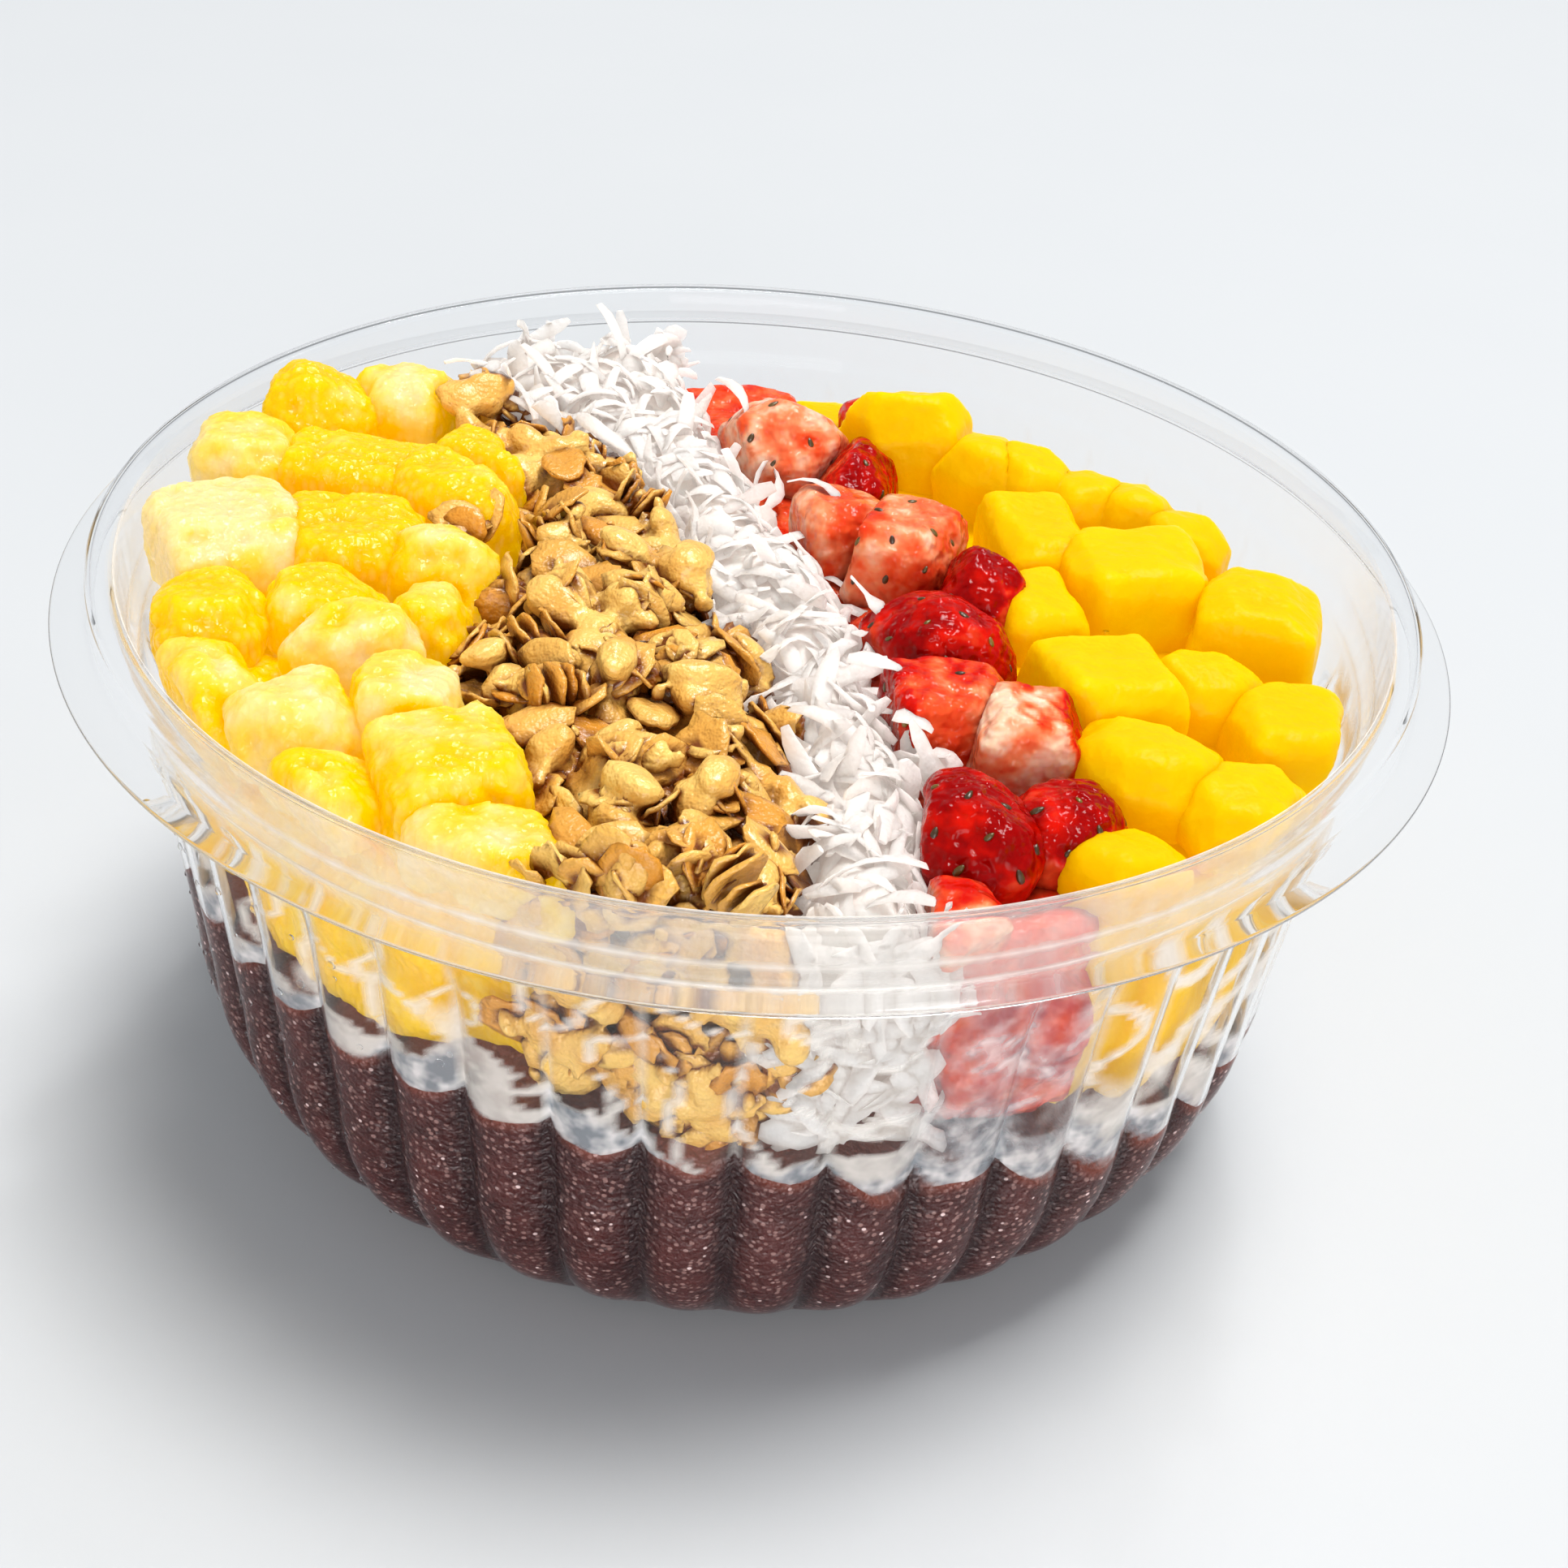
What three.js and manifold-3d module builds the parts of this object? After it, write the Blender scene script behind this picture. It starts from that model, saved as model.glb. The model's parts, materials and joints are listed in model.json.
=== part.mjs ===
// An acai bowl: a clear fluted bowl with a flanged rim, filled with acai pulp and topped with five
// stripes, which are pineapple, granola, shredded coconut, strawberry and mango.
// Millimetres, +Z up. The origin is on the table, under the middle of the bowl.

import * as THREE from 'three';
import { mergeVertices } from 'three/addons/utils/BufferGeometryUtils.js';
import Module from 'manifold-3d';

const wasm = await Module();
wasm.setup();

// ---- Driving dimensions -------------------------------------------------------------------------

// Bowl
const rimHeight = 72.5; // table to the flat crest of the rim
const crestOuterRadius = 78;
const crestInnerRadius = 74.8;
const flangeRadius = 82.3;
const flangeHeight = 66.3; // top of the flat skirt round the rim
const flangeThickness = 0.6;
const wallThickness = 0.8;
const stepTop = 64.2; // stacking step inside the rim
const stepBottom = 62.6;
const wallDraft = 0.115; // outward lean of the straight wall, per millimetre of height
const bendTop = 27; // where the straight wall turns in towards the base
const bendTopRadius = 69.4;
const bendCentreRadius = 50;
const bendDepth = 27.6;
const footOuterRadius = 54.5;
const footInnerRadius = 50.5;
const footRecess = 1.6;

// Flutes
const fluteCount = 44;
const fluteDepth = 1.9;
const fluteSteps = 3; // flat strips in each flute
const firstGroove = THREE.MathUtils.degToRad(-145.7);
const fluteRows = [ // height on the outer wall, share of the full groove depth
  [4.5, 0.6],
  [11, 1],
  [19, 1],
  [50, 1],
];
const fluteStart = 2; // the flutes run out at this height below and at the next one above
const fluteEnd = 58;

// Food
const touchGap = 0.35; // between pieces that touch
const cornerGrid = 0.004; // steps in which the corners of cut pieces lie
const acaiWallLevel = 35; // height of the pulp's edge in the middle of the front
const acaiFall = [9, 6]; // how far the edge falls to the right, in step and in square with x
const acaiDome = 13; // rise of the pulp in the middle, under the toppings
const stripeTurn = THREE.MathUtils.degToRad(15); // the stripes run from back left to front right
const stations = [-100, -68, -45, -22, 0, 22, 45, 100]; // places along the stripes
const leftSides = { // left side of each stripe at the stations
  granola: [-32, -32, -35, -40, -31, -26, -31, -31],
  coconut: [-13, -13, -5, -5, -7, -8, -20, -34],
  strawberry: [2, 2, 8, 9, 11, 6, 4, 4],
  mango: [21, 21, 24, 25, 27, 18, 20, 20],
};
const bedDrop = 11.5; // from the rim down to the layer that the top pieces of fruit lie on
const pieceSwell = 1.08; // the top pieces are pressed together, and parted where they meet
const granolaCoreTop = rimHeight - 5.4; // what the top flakes and grains are stuck to
const coconutCoreTop = rimHeight - 5.6;
const heapTilt = 4 / 70; // the heap is higher on the left
const heapTop = -2.5; // height of the heap's middle above the rim
const heapDroop = 2; // how far the heap sinks at the wall

// ---- Shared shapes ------------------------------------------------------------------------------

/** Random numbers from 0 to 1 that are the same on every run. */
function seededRandom(seed) {
  let state = seed;
  return () => {
    state = (state * 1664525 + 1013904223) % 4294967296;
    return state / 4294967296;
  };
}

/** The same shape with only its positions, and each corner held once. */
function welded(geometry) {
  const bare = geometry.clone();
  bare.deleteAttribute('normal');
  bare.deleteAttribute('uv');
  return mergeVertices(bare, 1e-4);
}

/** A closed geometry as a solid that can be joined and cut. */
function solid(geometry) {
  const shape = welded(geometry);
  return new wasm.Manifold(new wasm.Mesh({
    numProp: 3,
    vertProperties: new Float32Array(shape.attributes.position.array),
    triVerts: new Uint32Array(shape.index.array),
  }));
}

/** The surface of a solid as a geometry. Its corners are set on a fine grid, and the slivers that
 * shrink to a line there are dropped. */
function surfaceOf(body) {
  const mesh = body.getMesh();
  const geometry = new THREE.BufferGeometry();
  const onGrid = mesh.vertProperties.map((v) => Math.round(v / cornerGrid) * cornerGrid);
  geometry.setAttribute('position', new THREE.BufferAttribute(onGrid, 3));
  geometry.setIndex(new THREE.BufferAttribute(mesh.triVerts, 1));
  const merged = mergeVertices(geometry, cornerGrid / 2);
  const faces = [];
  for (let i = 0; i < merged.index.count; i += 3) {
    const corners = [0, 1, 2].map((step) => merged.index.getX(i + step));
    if (new Set(corners).size === 3) faces.push(...corners);
  }
  merged.setIndex(faces);
  return merged;
}

/** The largest of a solid's separate lumps, so that no loose scrap stays. */
function largestLump(body) {
  const lumps = body.decompose();
  return lumps.reduce((best, lump) => (lump.volume() > best.volume() ? lump : best));
}

/** A skin over rings of points, bottom to top, closed by a point at each end. Rings hold either
 * the same number of points or a whole multiple of it. */
function skin(rings, startPoint, endPoint) {
  const points = [startPoint, ...rings.flat(), endPoint];
  const starts = [];
  rings.reduce((start, ring) => {
    starts.push(start);
    return start + ring.length;
  }, 1);
  const faces = [];
  const last = points.length - 1;
  const pointOn = (ring, i) => starts[ring] + (i % rings[ring].length);
  rings[0].forEach((_, i) => faces.push(0, pointOn(0, i + 1), pointOn(0, i)));
  for (let lower = 0; lower + 1 < rings.length; lower += 1) {
    const upper = lower + 1;
    const coarseIsLower = rings[lower].length <= rings[upper].length;
    const coarse = coarseIsLower ? lower : upper;
    const fine = coarseIsLower ? upper : lower;
    const ratio = rings[fine].length / rings[coarse].length;
    const face = (a, b, c) => (coarseIsLower ? faces.push(a, b, c) : faces.push(a, c, b));
    for (let i = 0; i < rings[coarse].length; i += 1) {
      const half = Math.ceil(ratio / 2);
      for (let step = 0; step < ratio; step += 1) {
        const from = pointOn(fine, i * ratio + step);
        const to = pointOn(fine, i * ratio + step + 1);
        face(pointOn(coarse, step < half ? i : i + 1), to, from);
      }
      face(pointOn(coarse, i), pointOn(coarse, i + 1), pointOn(fine, i * ratio + half));
    }
  }
  const top = rings.length - 1;
  rings[top].forEach((_, i) => faces.push(last, pointOn(top, i), pointOn(top, i + 1)));
  const geometry = new THREE.BufferGeometry();
  const flat = points.flatMap((p) => [p.x, p.y, p.z]);
  geometry.setAttribute('position', new THREE.Float32BufferAttribute(flat, 3));
  geometry.setIndex(faces);
  return geometry;
}

/** A point at an angle round the bowl's axis. */
function polar(radius, angle, z) {
  return new THREE.Vector3(radius * Math.cos(angle), radius * Math.sin(angle), z);
}

// ---- Bowl ---------------------------------------------------------------------------------------

/** Radius of the outer wall at the crown of a flute. */
function wallRadius(z) {
  if (z >= bendTop) return bendTopRadius + wallDraft * (z - bendTop);
  const fall = (bendTop - z) / bendDepth;
  return bendCentreRadius + (bendTopRadius - bendCentreRadius) * Math.sqrt(1 - fall * fall);
}

const fineColumns = fluteCount * fluteSteps;
const coarseColumns = fluteCount;

/** How far a flute's surface lies inside its crown, from 0 to 1 at the groove. */
function grooveShare(column) {
  const across = (column % fluteSteps) / fluteSteps;
  return 1 - Math.sin(Math.PI * across) ** 0.75;
}

function roundRing(radius, z, columns = coarseColumns) {
  return Array.from({ length: columns }, (_, i) =>
    polar(radius, firstGroove + (i / columns) * 2 * Math.PI, z));
}

/** The fluted part of the wall, moved in and up by the same inset, so that walls stay parallel. */
function flutedRings(inset) {
  const rows = fluteRows.map(([z, share]) => Array.from({ length: fineColumns }, (_, i) => {
    const radius = wallRadius(z) - inset - fluteDepth * share * grooveShare(i);
    return polar(radius, firstGroove + (i / fineColumns) * 2 * Math.PI, z + inset);
  }));
  const below = roundRing(wallRadius(fluteStart) - inset, fluteStart + inset);
  const above = roundRing(wallRadius(fluteEnd) - inset, fluteEnd + inset);
  return [below, ...rows, above];
}

function bowlShell() {
  const t = wallThickness;
  const outside = [
    roundRing(footInnerRadius - 2, footRecess),
    roundRing(footInnerRadius, 0),
    roundRing(footOuterRadius, 0),
    ...flutedRings(0),
    roundRing(wallRadius(stepBottom), stepBottom - t),
  ];
  const rim = [
    roundRing(crestInnerRadius - 1 + t, stepTop - t),
    roundRing(crestInnerRadius + t, rimHeight - t),
    roundRing(crestOuterRadius - t, rimHeight - t),
    roundRing(crestOuterRadius - t, flangeHeight - flangeThickness),
    roundRing(flangeRadius, flangeHeight - flangeThickness),
    roundRing(flangeRadius, flangeHeight),
    roundRing(crestOuterRadius + 0.2, flangeHeight),
    roundRing(crestOuterRadius, rimHeight),
    roundRing(crestInnerRadius, rimHeight),
    roundRing(crestInnerRadius - 1, stepTop),
  ];
  const inside = [
    ...flutedRings(t),
    roundRing(wallRadius(stepBottom) - t, stepBottom),
  ].reverse();
  const bottomPoint = new THREE.Vector3(0, 0, footRecess);
  const innerPoint = new THREE.Vector3(0, 0, fluteStart + t);
  return skin([...outside, ...rim, ...inside], bottomPoint, innerPoint);
}

// ---- Space inside the bowl ----------------------------------------------------------------------

/** What fits in the bowl without touching the grooves, as a turned solid from the base up. */
function roomInside(inset, top) {
  const clear = (z) => wallRadius(z) - fluteDepth - wallThickness - inset;
  const profile = [11, bendTop, fluteEnd].map((z) =>
    new THREE.Vector2(clear(z), z + wallThickness + inset));
  profile.unshift(new THREE.Vector2(0, profile[0].y));
  profile.push(new THREE.Vector2(crestInnerRadius - inset - 1, top));
  profile.push(new THREE.Vector2(0, top));
  const geometry = new THREE.LatheGeometry(profile, fluteCount / 2);
  geometry.rotateX(Math.PI / 2);
  geometry.rotateZ(firstGroove);
  return solid(geometry);
}

/** Height of the acai pulp's surface. */
function acaiHeight(x, y) {
  const across = x / 70;
  const out = Math.min(1, Math.hypot(x, y) / 70);
  return acaiWallLevel - acaiFall[0] * across - acaiFall[1] * across * across
    + acaiDome * (1 - out * out);
}

/** Everything above the pulp's surface, raised by a gap. */
function aboveAcai(gap) {
  const columns = 24;
  const radii = [22, 44, 60, 90];
  const rings = radii.map((radius) => roundRing(radius, 0, columns));
  rings.flat().forEach((p) => { p.z = acaiHeight(p.x, p.y) + gap; });
  rings.push(roundRing(90, rimHeight + 30, columns));
  const centre = new THREE.Vector3(0, 0, acaiHeight(0, 0) + gap);
  return solid(skin(rings, centre, new THREE.Vector3(0, 0, rimHeight + 30)));
}

function acaiPulp() {
  const inset = wallThickness + touchGap;
  const rings = flutedRings(inset);
  const centreBelow = new THREE.Vector3(0, 0, fluteStart + inset);
  const centreAbove = new THREE.Vector3(0, 0, fluteEnd + inset);
  return solid(skin(rings, centreBelow, centreAbove)).subtract(aboveAcai(0));
}

// ---- Places in the stripes ----------------------------------------------------------------------

/** Turns a place across and along the stripes into x and y. */
function inStripes(across, along) {
  return [
    across * Math.cos(stripeTurn) - along * Math.sin(stripeTurn),
    across * Math.sin(stripeTurn) + along * Math.cos(stripeTurn),
  ];
}

function acrossOf(x, y) {
  return x * Math.cos(stripeTurn) + y * Math.sin(stripeTurn);
}

/** Height of the top of the heap. */
function heapHeight(x, y) {
  const out = Math.min(1, Math.hypot(x, y) / 70);
  return rimHeight + heapTop - heapTilt * acrossOf(x, y) - heapDroop * out ** 4;
}

/** Height of the layer that the top pieces of fruit lie on. */
function bedHeight(x, y) {
  return rimHeight - bedDrop - heapTilt * acrossOf(x, y);
}

/** Left side of a stripe at any place along it. */
function sideAt(stripe, along) {
  const next = Math.max(1, stations.findIndex((station) => station > along));
  const share = (along - stations[next - 1]) / (stations[next] - stations[next - 1]);
  return THREE.MathUtils.lerp(leftSides[stripe][next - 1], leftSides[stripe][next], share);
}

/** A solid along the stripes: outlineAt gives the [across, height] corners of its section at a
 * station, clockwise from the lower left. */
function alongStripe(outlineAt) {
  const rings = stations.map((along, i) => outlineAt(i).map(([across, z]) =>
    new THREE.Vector3(...inStripes(across, along), z)));
  const middle = (ring) => ring[0].clone().lerp(ring[2], 0.5);
  return solid(skin(rings, middle(rings[0]), middle(rings[rings.length - 1])));
}

// ---- Fruit --------------------------------------------------------------------------------------

// How a cut piece stands: its sides, [height, width] of each ring as shares of the whole, and how
// uneven it is.
const forms = {
  cube: { sides: 4, rings: [[0, 1], [0.82, 0.98], [1, 0.78]], uneven: 0.1 },
  lump: { sides: 6, rings: [[0, 0.92], [0.6, 1], [0.96, 0.62]], uneven: 0.2 },
  wedge: { sides: 5, rings: [[0, 1], [0.6, 0.9], [0.95, 0.38]], uneven: 0.12 },
  berry: { sides: 8, rings: [[0, 0.9], [0.4, 1], [0.82, 0.66]], uneven: 0.06 },
};

/** A cut piece that stands on the bed, its widest ring as wide and deep as the size says. */
function standingPiece({ at, size, lift, turn, form }, random) {
  const { sides, rings, uneven } = forms[form];
  const [x, y] = at;
  const angle = THREE.MathUtils.degToRad(turn);
  const floor = (px, py) => bedHeight(px, py) + touchGap;
  const height = heapHeight(x, y) + lift - floor(x, y);
  const toCorner = 1 / Math.cos(Math.PI / sides);
  const corners = Array.from({ length: sides }, (_, i) => {
    const way = ((i + 0.5) / sides) * 2 * Math.PI;
    const share = toCorner * (1 - uneven * random());
    const [wide, deep] = size.map((side) => (side * pieceSwell) / 2);
    return [share * wide * Math.cos(way), share * deep * Math.sin(way)];
  });
  const skinRings = rings.map(([level, width]) => corners.map(([along, out]) => {
    const shift = level > 0 ? uneven * (random() - 0.5) : 0;
    const px = x + width * (1 + shift) * (along * Math.cos(angle) - out * Math.sin(angle));
    const py = y + width * (1 - shift) * (along * Math.sin(angle) + out * Math.cos(angle));
    return new THREE.Vector3(px, py, floor(px, py) + height * level * (1 + 0.6 * shift));
  }));
  const base = new THREE.Vector3(x, y, floor(x, y));
  const tip = new THREE.Vector3(x, y, floor(x, y) + height);
  return solid(skin(skinRings, base, tip));
}

// Top pieces: at = x and y of the middle, size = width and depth before the turn in degrees,
// lift = height of the top above the heap's surface. Parts with the same joined name are one piece.
const pineapplePieces = [
  { at: [-60, 31], size: [14, 13], lift: 3, turn: 25, form: 'wedge' },
  { at: [-49, 37], size: [13, 13], lift: 1.5, turn: -20, form: 'lump' },
  { at: [-65, 15], size: [13, 15], lift: 1, turn: 10, form: 'lump' },
  { at: [-62, -7], size: [15, 15], lift: 1.5, turn: 35, form: 'cube' },
  { at: [-52, 14], size: [20, 12], lift: -0.5, turn: -8, form: 'cube' },
  { at: [-48, -3], size: [15, 16], lift: -1, turn: 12, form: 'cube' },
  { at: [-38, 8], size: [19, 9], lift: 0.5, turn: -38, form: 'cube' },
  { at: [-35, 21], size: [11, 10], lift: 0, turn: -15, form: 'cube' },
  { at: [-37, -7], size: [15, 10], lift: 0.5, turn: -28, form: 'wedge' },
  { at: [-61, -23], size: [13, 13], lift: -0.5, turn: -10, form: 'lump' },
  { at: [-49, -19], size: [12, 12], lift: -1, turn: 5, form: 'lump' },
  { at: [-44, -28], size: [14, 9], lift: 0.5, turn: 8, form: 'lump' },
  { at: [-37, -19], size: [9, 10], lift: -1.5, turn: 30, form: 'lump' },
  { at: [-58, -37], size: [9, 14], lift: -0.5, turn: 35, form: 'wedge' },
  { at: [-47, -42], size: [13, 12], lift: 0, turn: 20, form: 'lump' },
  { at: [-36, -38], size: [10, 12], lift: 0, turn: -15, form: 'cube' },
  { at: [-30, -51], size: [14, 14], lift: 1, turn: 30, form: 'cube' },
  { at: [-43, -55], size: [14, 12], lift: -1, turn: 30, form: 'lump' },
  { at: [-24, -63], size: [15, 10], lift: -0.5, turn: 10, form: 'cube' },
  { at: [-12, -65], size: [11, 9], lift: -1.5, turn: -15, form: 'cube' },
];
const mangoPieces = [
  { at: [19, 45], size: [17, 11], lift: 4.5, turn: -14, form: 'wedge' },
  { at: [29, 36], size: [11, 9], lift: 1.2, turn: -35, form: 'lump', joined: 'slab' },
  { at: [35.5, 33.5], size: [11, 9], lift: 1.6, turn: -20, form: 'lump', joined: 'slab' },
  { at: [42, 31], size: [10, 9], lift: 0.6, turn: -22, form: 'lump', joined: 'slab' },
  { at: [48.5, 28], size: [10, 9], lift: 0.9, turn: -30, form: 'lump', joined: 'slab' },
  { at: [55, 23.5], size: [12, 9], lift: 0.1, turn: -40, form: 'lump', joined: 'slab' },
  { at: [35, 18], size: [10, 15], lift: -0.5, turn: 14, form: 'cube' },
  { at: [47, 10], size: [17, 15], lift: 1, turn: 14, form: 'cube' },
  { at: [61, 3], size: [13, 13], lift: 2, turn: -8, form: 'cube' },
  { at: [34, 1], size: [8, 12], lift: -2, turn: 15, form: 'cube' },
  { at: [41, -17], size: [13, 14], lift: 0, turn: 15, form: 'cube' },
  { at: [53, -13], size: [12, 12], lift: -0.5, turn: 35, form: 'lump' },
  { at: [62, -21], size: [13, 13], lift: 0, turn: 12, form: 'cube' },
  { at: [44, -33], size: [16, 14], lift: 0, turn: -28, form: 'lump' },
  { at: [54, -38], size: [15, 12], lift: -0.5, turn: 30, form: 'lump' },
  { at: [40, -50], size: [12, 11], lift: -1.5, turn: -10, form: 'lump' },
];
const strawberryPieces = [
  { at: [2, 39], size: [16, 13], lift: 2, turn: -8, form: 'berry' },
  { at: [12, 33], size: [8, 16], lift: -0.5, turn: -12, form: 'wedge' },
  { at: [10, 16], size: [10, 10], lift: 0, turn: 20, form: 'cube' },
  { at: [18, 10], size: [12, 12], lift: 1.5, turn: -12, form: 'cube' },
  { at: [27, 2], size: [10, 11], lift: 2, turn: 22, form: 'wedge' },
  { at: [22, -10], size: [17, 14], lift: 1, turn: -35, form: 'berry' },
  { at: [21, -26], size: [15, 12], lift: -0.5, turn: 12, form: 'cube' },
  { at: [31, -30], size: [12, 10], lift: 0.5, turn: 8, form: 'cube' },
  { at: [24, -48], size: [13, 15], lift: 1, turn: 15, form: 'berry' },
  { at: [34, -45], size: [12, 13], lift: 0, turn: -10, form: 'berry' },
  { at: [20, -62], size: [13, 10], lift: -2, turn: 15, form: 'lump' },
  { at: [16, 56], size: [12, 12], lift: -3, turn: 15, form: 'lump' },
];

/** Keeps the part of a solid on the near side of a plane across the way to a neighbour. */
function cutTowards(body, from, direction, distance) {
  const offset = direction.dot(from) + distance;
  const back = direction.clone().negate();
  return body.trimByPlane([back.x, back.y, back.z], -offset);
}

/** Parts pieces that press on each other by a plane between each two of them. */
function partPieces(pieces) {
  for (let i = 0; i < pieces.length; i += 1) {
    for (let j = i + 1; j < pieces.length; j += 1) {
      const a = pieces[i];
      const b = pieces[j];
      const way = b.middle.clone().sub(a.middle);
      const distance = way.length();
      const apart = !a.joined || a.joined !== b.joined;
      if (apart && distance < 2 * (a.reach + b.reach)) {
        way.normalize();
        const fromA = (distance * distance + a.reach ** 2 - b.reach ** 2) / (2 * distance);
        a.body = cutTowards(a.body, a.middle, way, fromA - touchGap / 2);
        b.body = cutTowards(b.body, b.middle, way.negate(), distance - fromA - touchGap / 2);
      }
    }
  }
}

// ---- Cores of the heaps -------------------------------------------------------------------------

const halfGap = touchGap / 2;
const room = roomInside(touchGap, rimHeight + 8);
const coreRoom = roomInside(3, rimHeight + 8);
const overAcai = aboveAcai(touchGap);
const pileRoom = room.intersect(overAcai);

/** A stripe's core: a ridge with sloping shoulders. */
function ridge(stripe, nextStripe, top) {
  const slope = 5;
  const shoulder = 6;
  return alongStripe((i) => {
    const left = leftSides[stripe][i] + halfGap;
    const right = leftSides[nextStripe][i] - halfGap;
    return [
      [left, 0],
      [left, top - heapTilt * left - shoulder],
      [left + slope, top - heapTilt * left],
      [right - slope, top - heapTilt * right],
      [right, top - heapTilt * right - shoulder],
      [right, 0],
    ];
  });
}

const granolaRidge = ridge('granola', 'coconut', granolaCoreTop);
const coconutRidge = ridge('coconut', 'strawberry', coconutCoreTop);

/** Everything between the left sides of two stripes, grown by a gap on both sides. */
function between(stripe, nextStripe, gap) {
  return alongStripe((i) => {
    const left = leftSides[stripe][i] - gap;
    const right = leftSides[nextStripe][i] + gap;
    return [[left, 0], [left, rimHeight + 20], [right, rimHeight + 20], [right, 0]];
  });
}

/** Everything under the bed's surface between two stripes' sides, given as lists. */
function bedRoom(lefts, rights) {
  const bedTop = (across) => rimHeight - bedDrop - heapTilt * across;
  return alongStripe((i) => {
    const left = lefts[i] + halfGap;
    const right = rights[i] - halfGap;
    return [[left, 0], [left, bedTop(left)], [right, bedTop(right)], [right, 0]];
  });
}

/** The lower layer of a fruit: a core, with the pieces that press on the wall fused to it. */
function fruitBed(stripe, pieceSize, random) {
  const wall = bendTopRadius - fluteDepth - wallThickness;
  const steps = Math.round((2 * Math.PI * wall) / (pieceSize + 1));
  let bed = coreRoom;
  for (let level = 0; level < 2; level += 1) {
    for (let i = 0; i < steps; i += 1) {
      const angle = ((i + 0.5 * level + 0.3 * random()) / steps) * 2 * Math.PI;
      const size = [0, 1, 2].map(() => pieceSize * (0.8 + 0.35 * random()));
      const turn = new THREE.Euler(0.7 * (random() - 0.5), 0, angle + 0.8 * (random() - 0.5));
      const middle = polar(wall - size[0] * 0.42, angle, 0);
      middle.z = acaiHeight(middle.x, middle.y) + pieceSize * (0.45 + 0.9 * level);
      const block = new THREE.BoxGeometry(...size);
      block.applyMatrix4(new THREE.Matrix4().makeRotationFromEuler(turn));
      block.translate(middle.x, middle.y, middle.z);
      const body = solid(block);
      if (body.subtract(stripe).volume() < 0.4 * body.volume()) bed = bed.add(body);
    }
  }
  return largestLump(bed.intersect(stripe).intersect(pileRoom));
}

// ---- Granola and coconut ------------------------------------------------------------------------

/** A flat oat flake, oval and slightly uneven. */
function oatFlake(random) {
  const geometry = new THREE.CylinderGeometry(1, 0.84, 1.4, 6);
  geometry.rotateX(Math.PI / 2);
  geometry.scale(4 + random(), 3 + 0.9 * random(), 1);
  return geometry;
}

/** A puffed grain, long and rounded. */
function puffedGrain(random) {
  const geometry = new THREE.IcosahedronGeometry(1, 0);
  geometry.scale(4 + 1.2 * random(), 2.8 + 0.9 * random(), 2.4 + 0.8 * random());
  return geometry;
}

/** A curled strip of coconut. */
function coconutShred(random) {
  const length = 9 + 5 * random();
  const width = 1.8 + 1.1 * random();
  const geometry = welded(new THREE.BoxGeometry(length, width, 1, 2, 1, 1));
  const place = geometry.attributes.position;
  const curl = 0.5 + 1.8 * random();
  for (let i = 0; i < place.count; i += 1) {
    const along = (2 * place.getX(i)) / length;
    place.setZ(i, place.getZ(i) - curl * along * along);
    place.setY(i, place.getY(i) * (1 - 0.4 * Math.abs(along)));
  }
  return geometry;
}

/** Fuses small pieces to a core. One that would run into what is blocked is moved towards the
 * middle of its stripe, and left out when that doesn't clear it. */
function fusePieces(core, places, makePiece, blocked, random) {
  let heap = core;
  places.forEach(({ middle, turn, toCentre }) => {
    const piece = welded(makePiece(random));
    const clearance = piece.clone().scale(1.1, 1.1, 1.3);
    [piece, clearance].forEach((geometry) => {
      geometry.applyMatrix4(new THREE.Matrix4().makeRotationFromEuler(turn));
      geometry.translate(middle.x, middle.y, middle.z);
    });
    const step = toCentre.clone().multiplyScalar(0.3);
    for (let tries = 0; tries < 3; tries += 1) {
      const body = solid(piece);
      if (solid(clearance).intersect(blocked).isEmpty() && !body.intersect(core).isEmpty()) {
        heap = heap.add(body);
        break;
      }
      piece.translate(step.x, step.y, step.z);
      clearance.translate(step.x, step.y, step.z);
    }
  });
  return largestLump(heap.intersect(pileRoom));
}

/** Places spread over the top of a ridge, in rows along the stripe. */
function topPlaces(stripe, nextStripe, coreTop, spacing, tip, random) {
  const places = [];
  for (let along = -66; along < 68; along += spacing) {
    const left = sideAt(stripe, along) + 1;
    const right = sideAt(nextStripe, along) - 1;
    const columns = Math.max(1, Math.round((right - left) / spacing));
    for (let column = 0; column <= columns; column += 1) {
      const share = column / columns;
      const across = left + (right - left) * share + 0.6 * spacing * (random() - 0.5);
      const [x, y] = inStripes(across, along + 0.6 * spacing * (random() - 0.5));
      const sideDrop = 8 * Math.max(0, Math.abs(share - 0.5) - 0.3);
      const z = coreTop - heapTilt * across - sideDrop + 0.8 * random();
      const turn = new THREE.Euler(tip * (random() - 0.5), tip * (random() - 0.5), 6.3 * random());
      const [cx, cy] = inStripes((left + right) / 2 - across, 0);
      places.push({ middle: new THREE.Vector3(x, y, z), turn, toCentre: new THREE.Vector3(cx, cy, 0) });
    }
  }
  return places;
}

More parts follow.
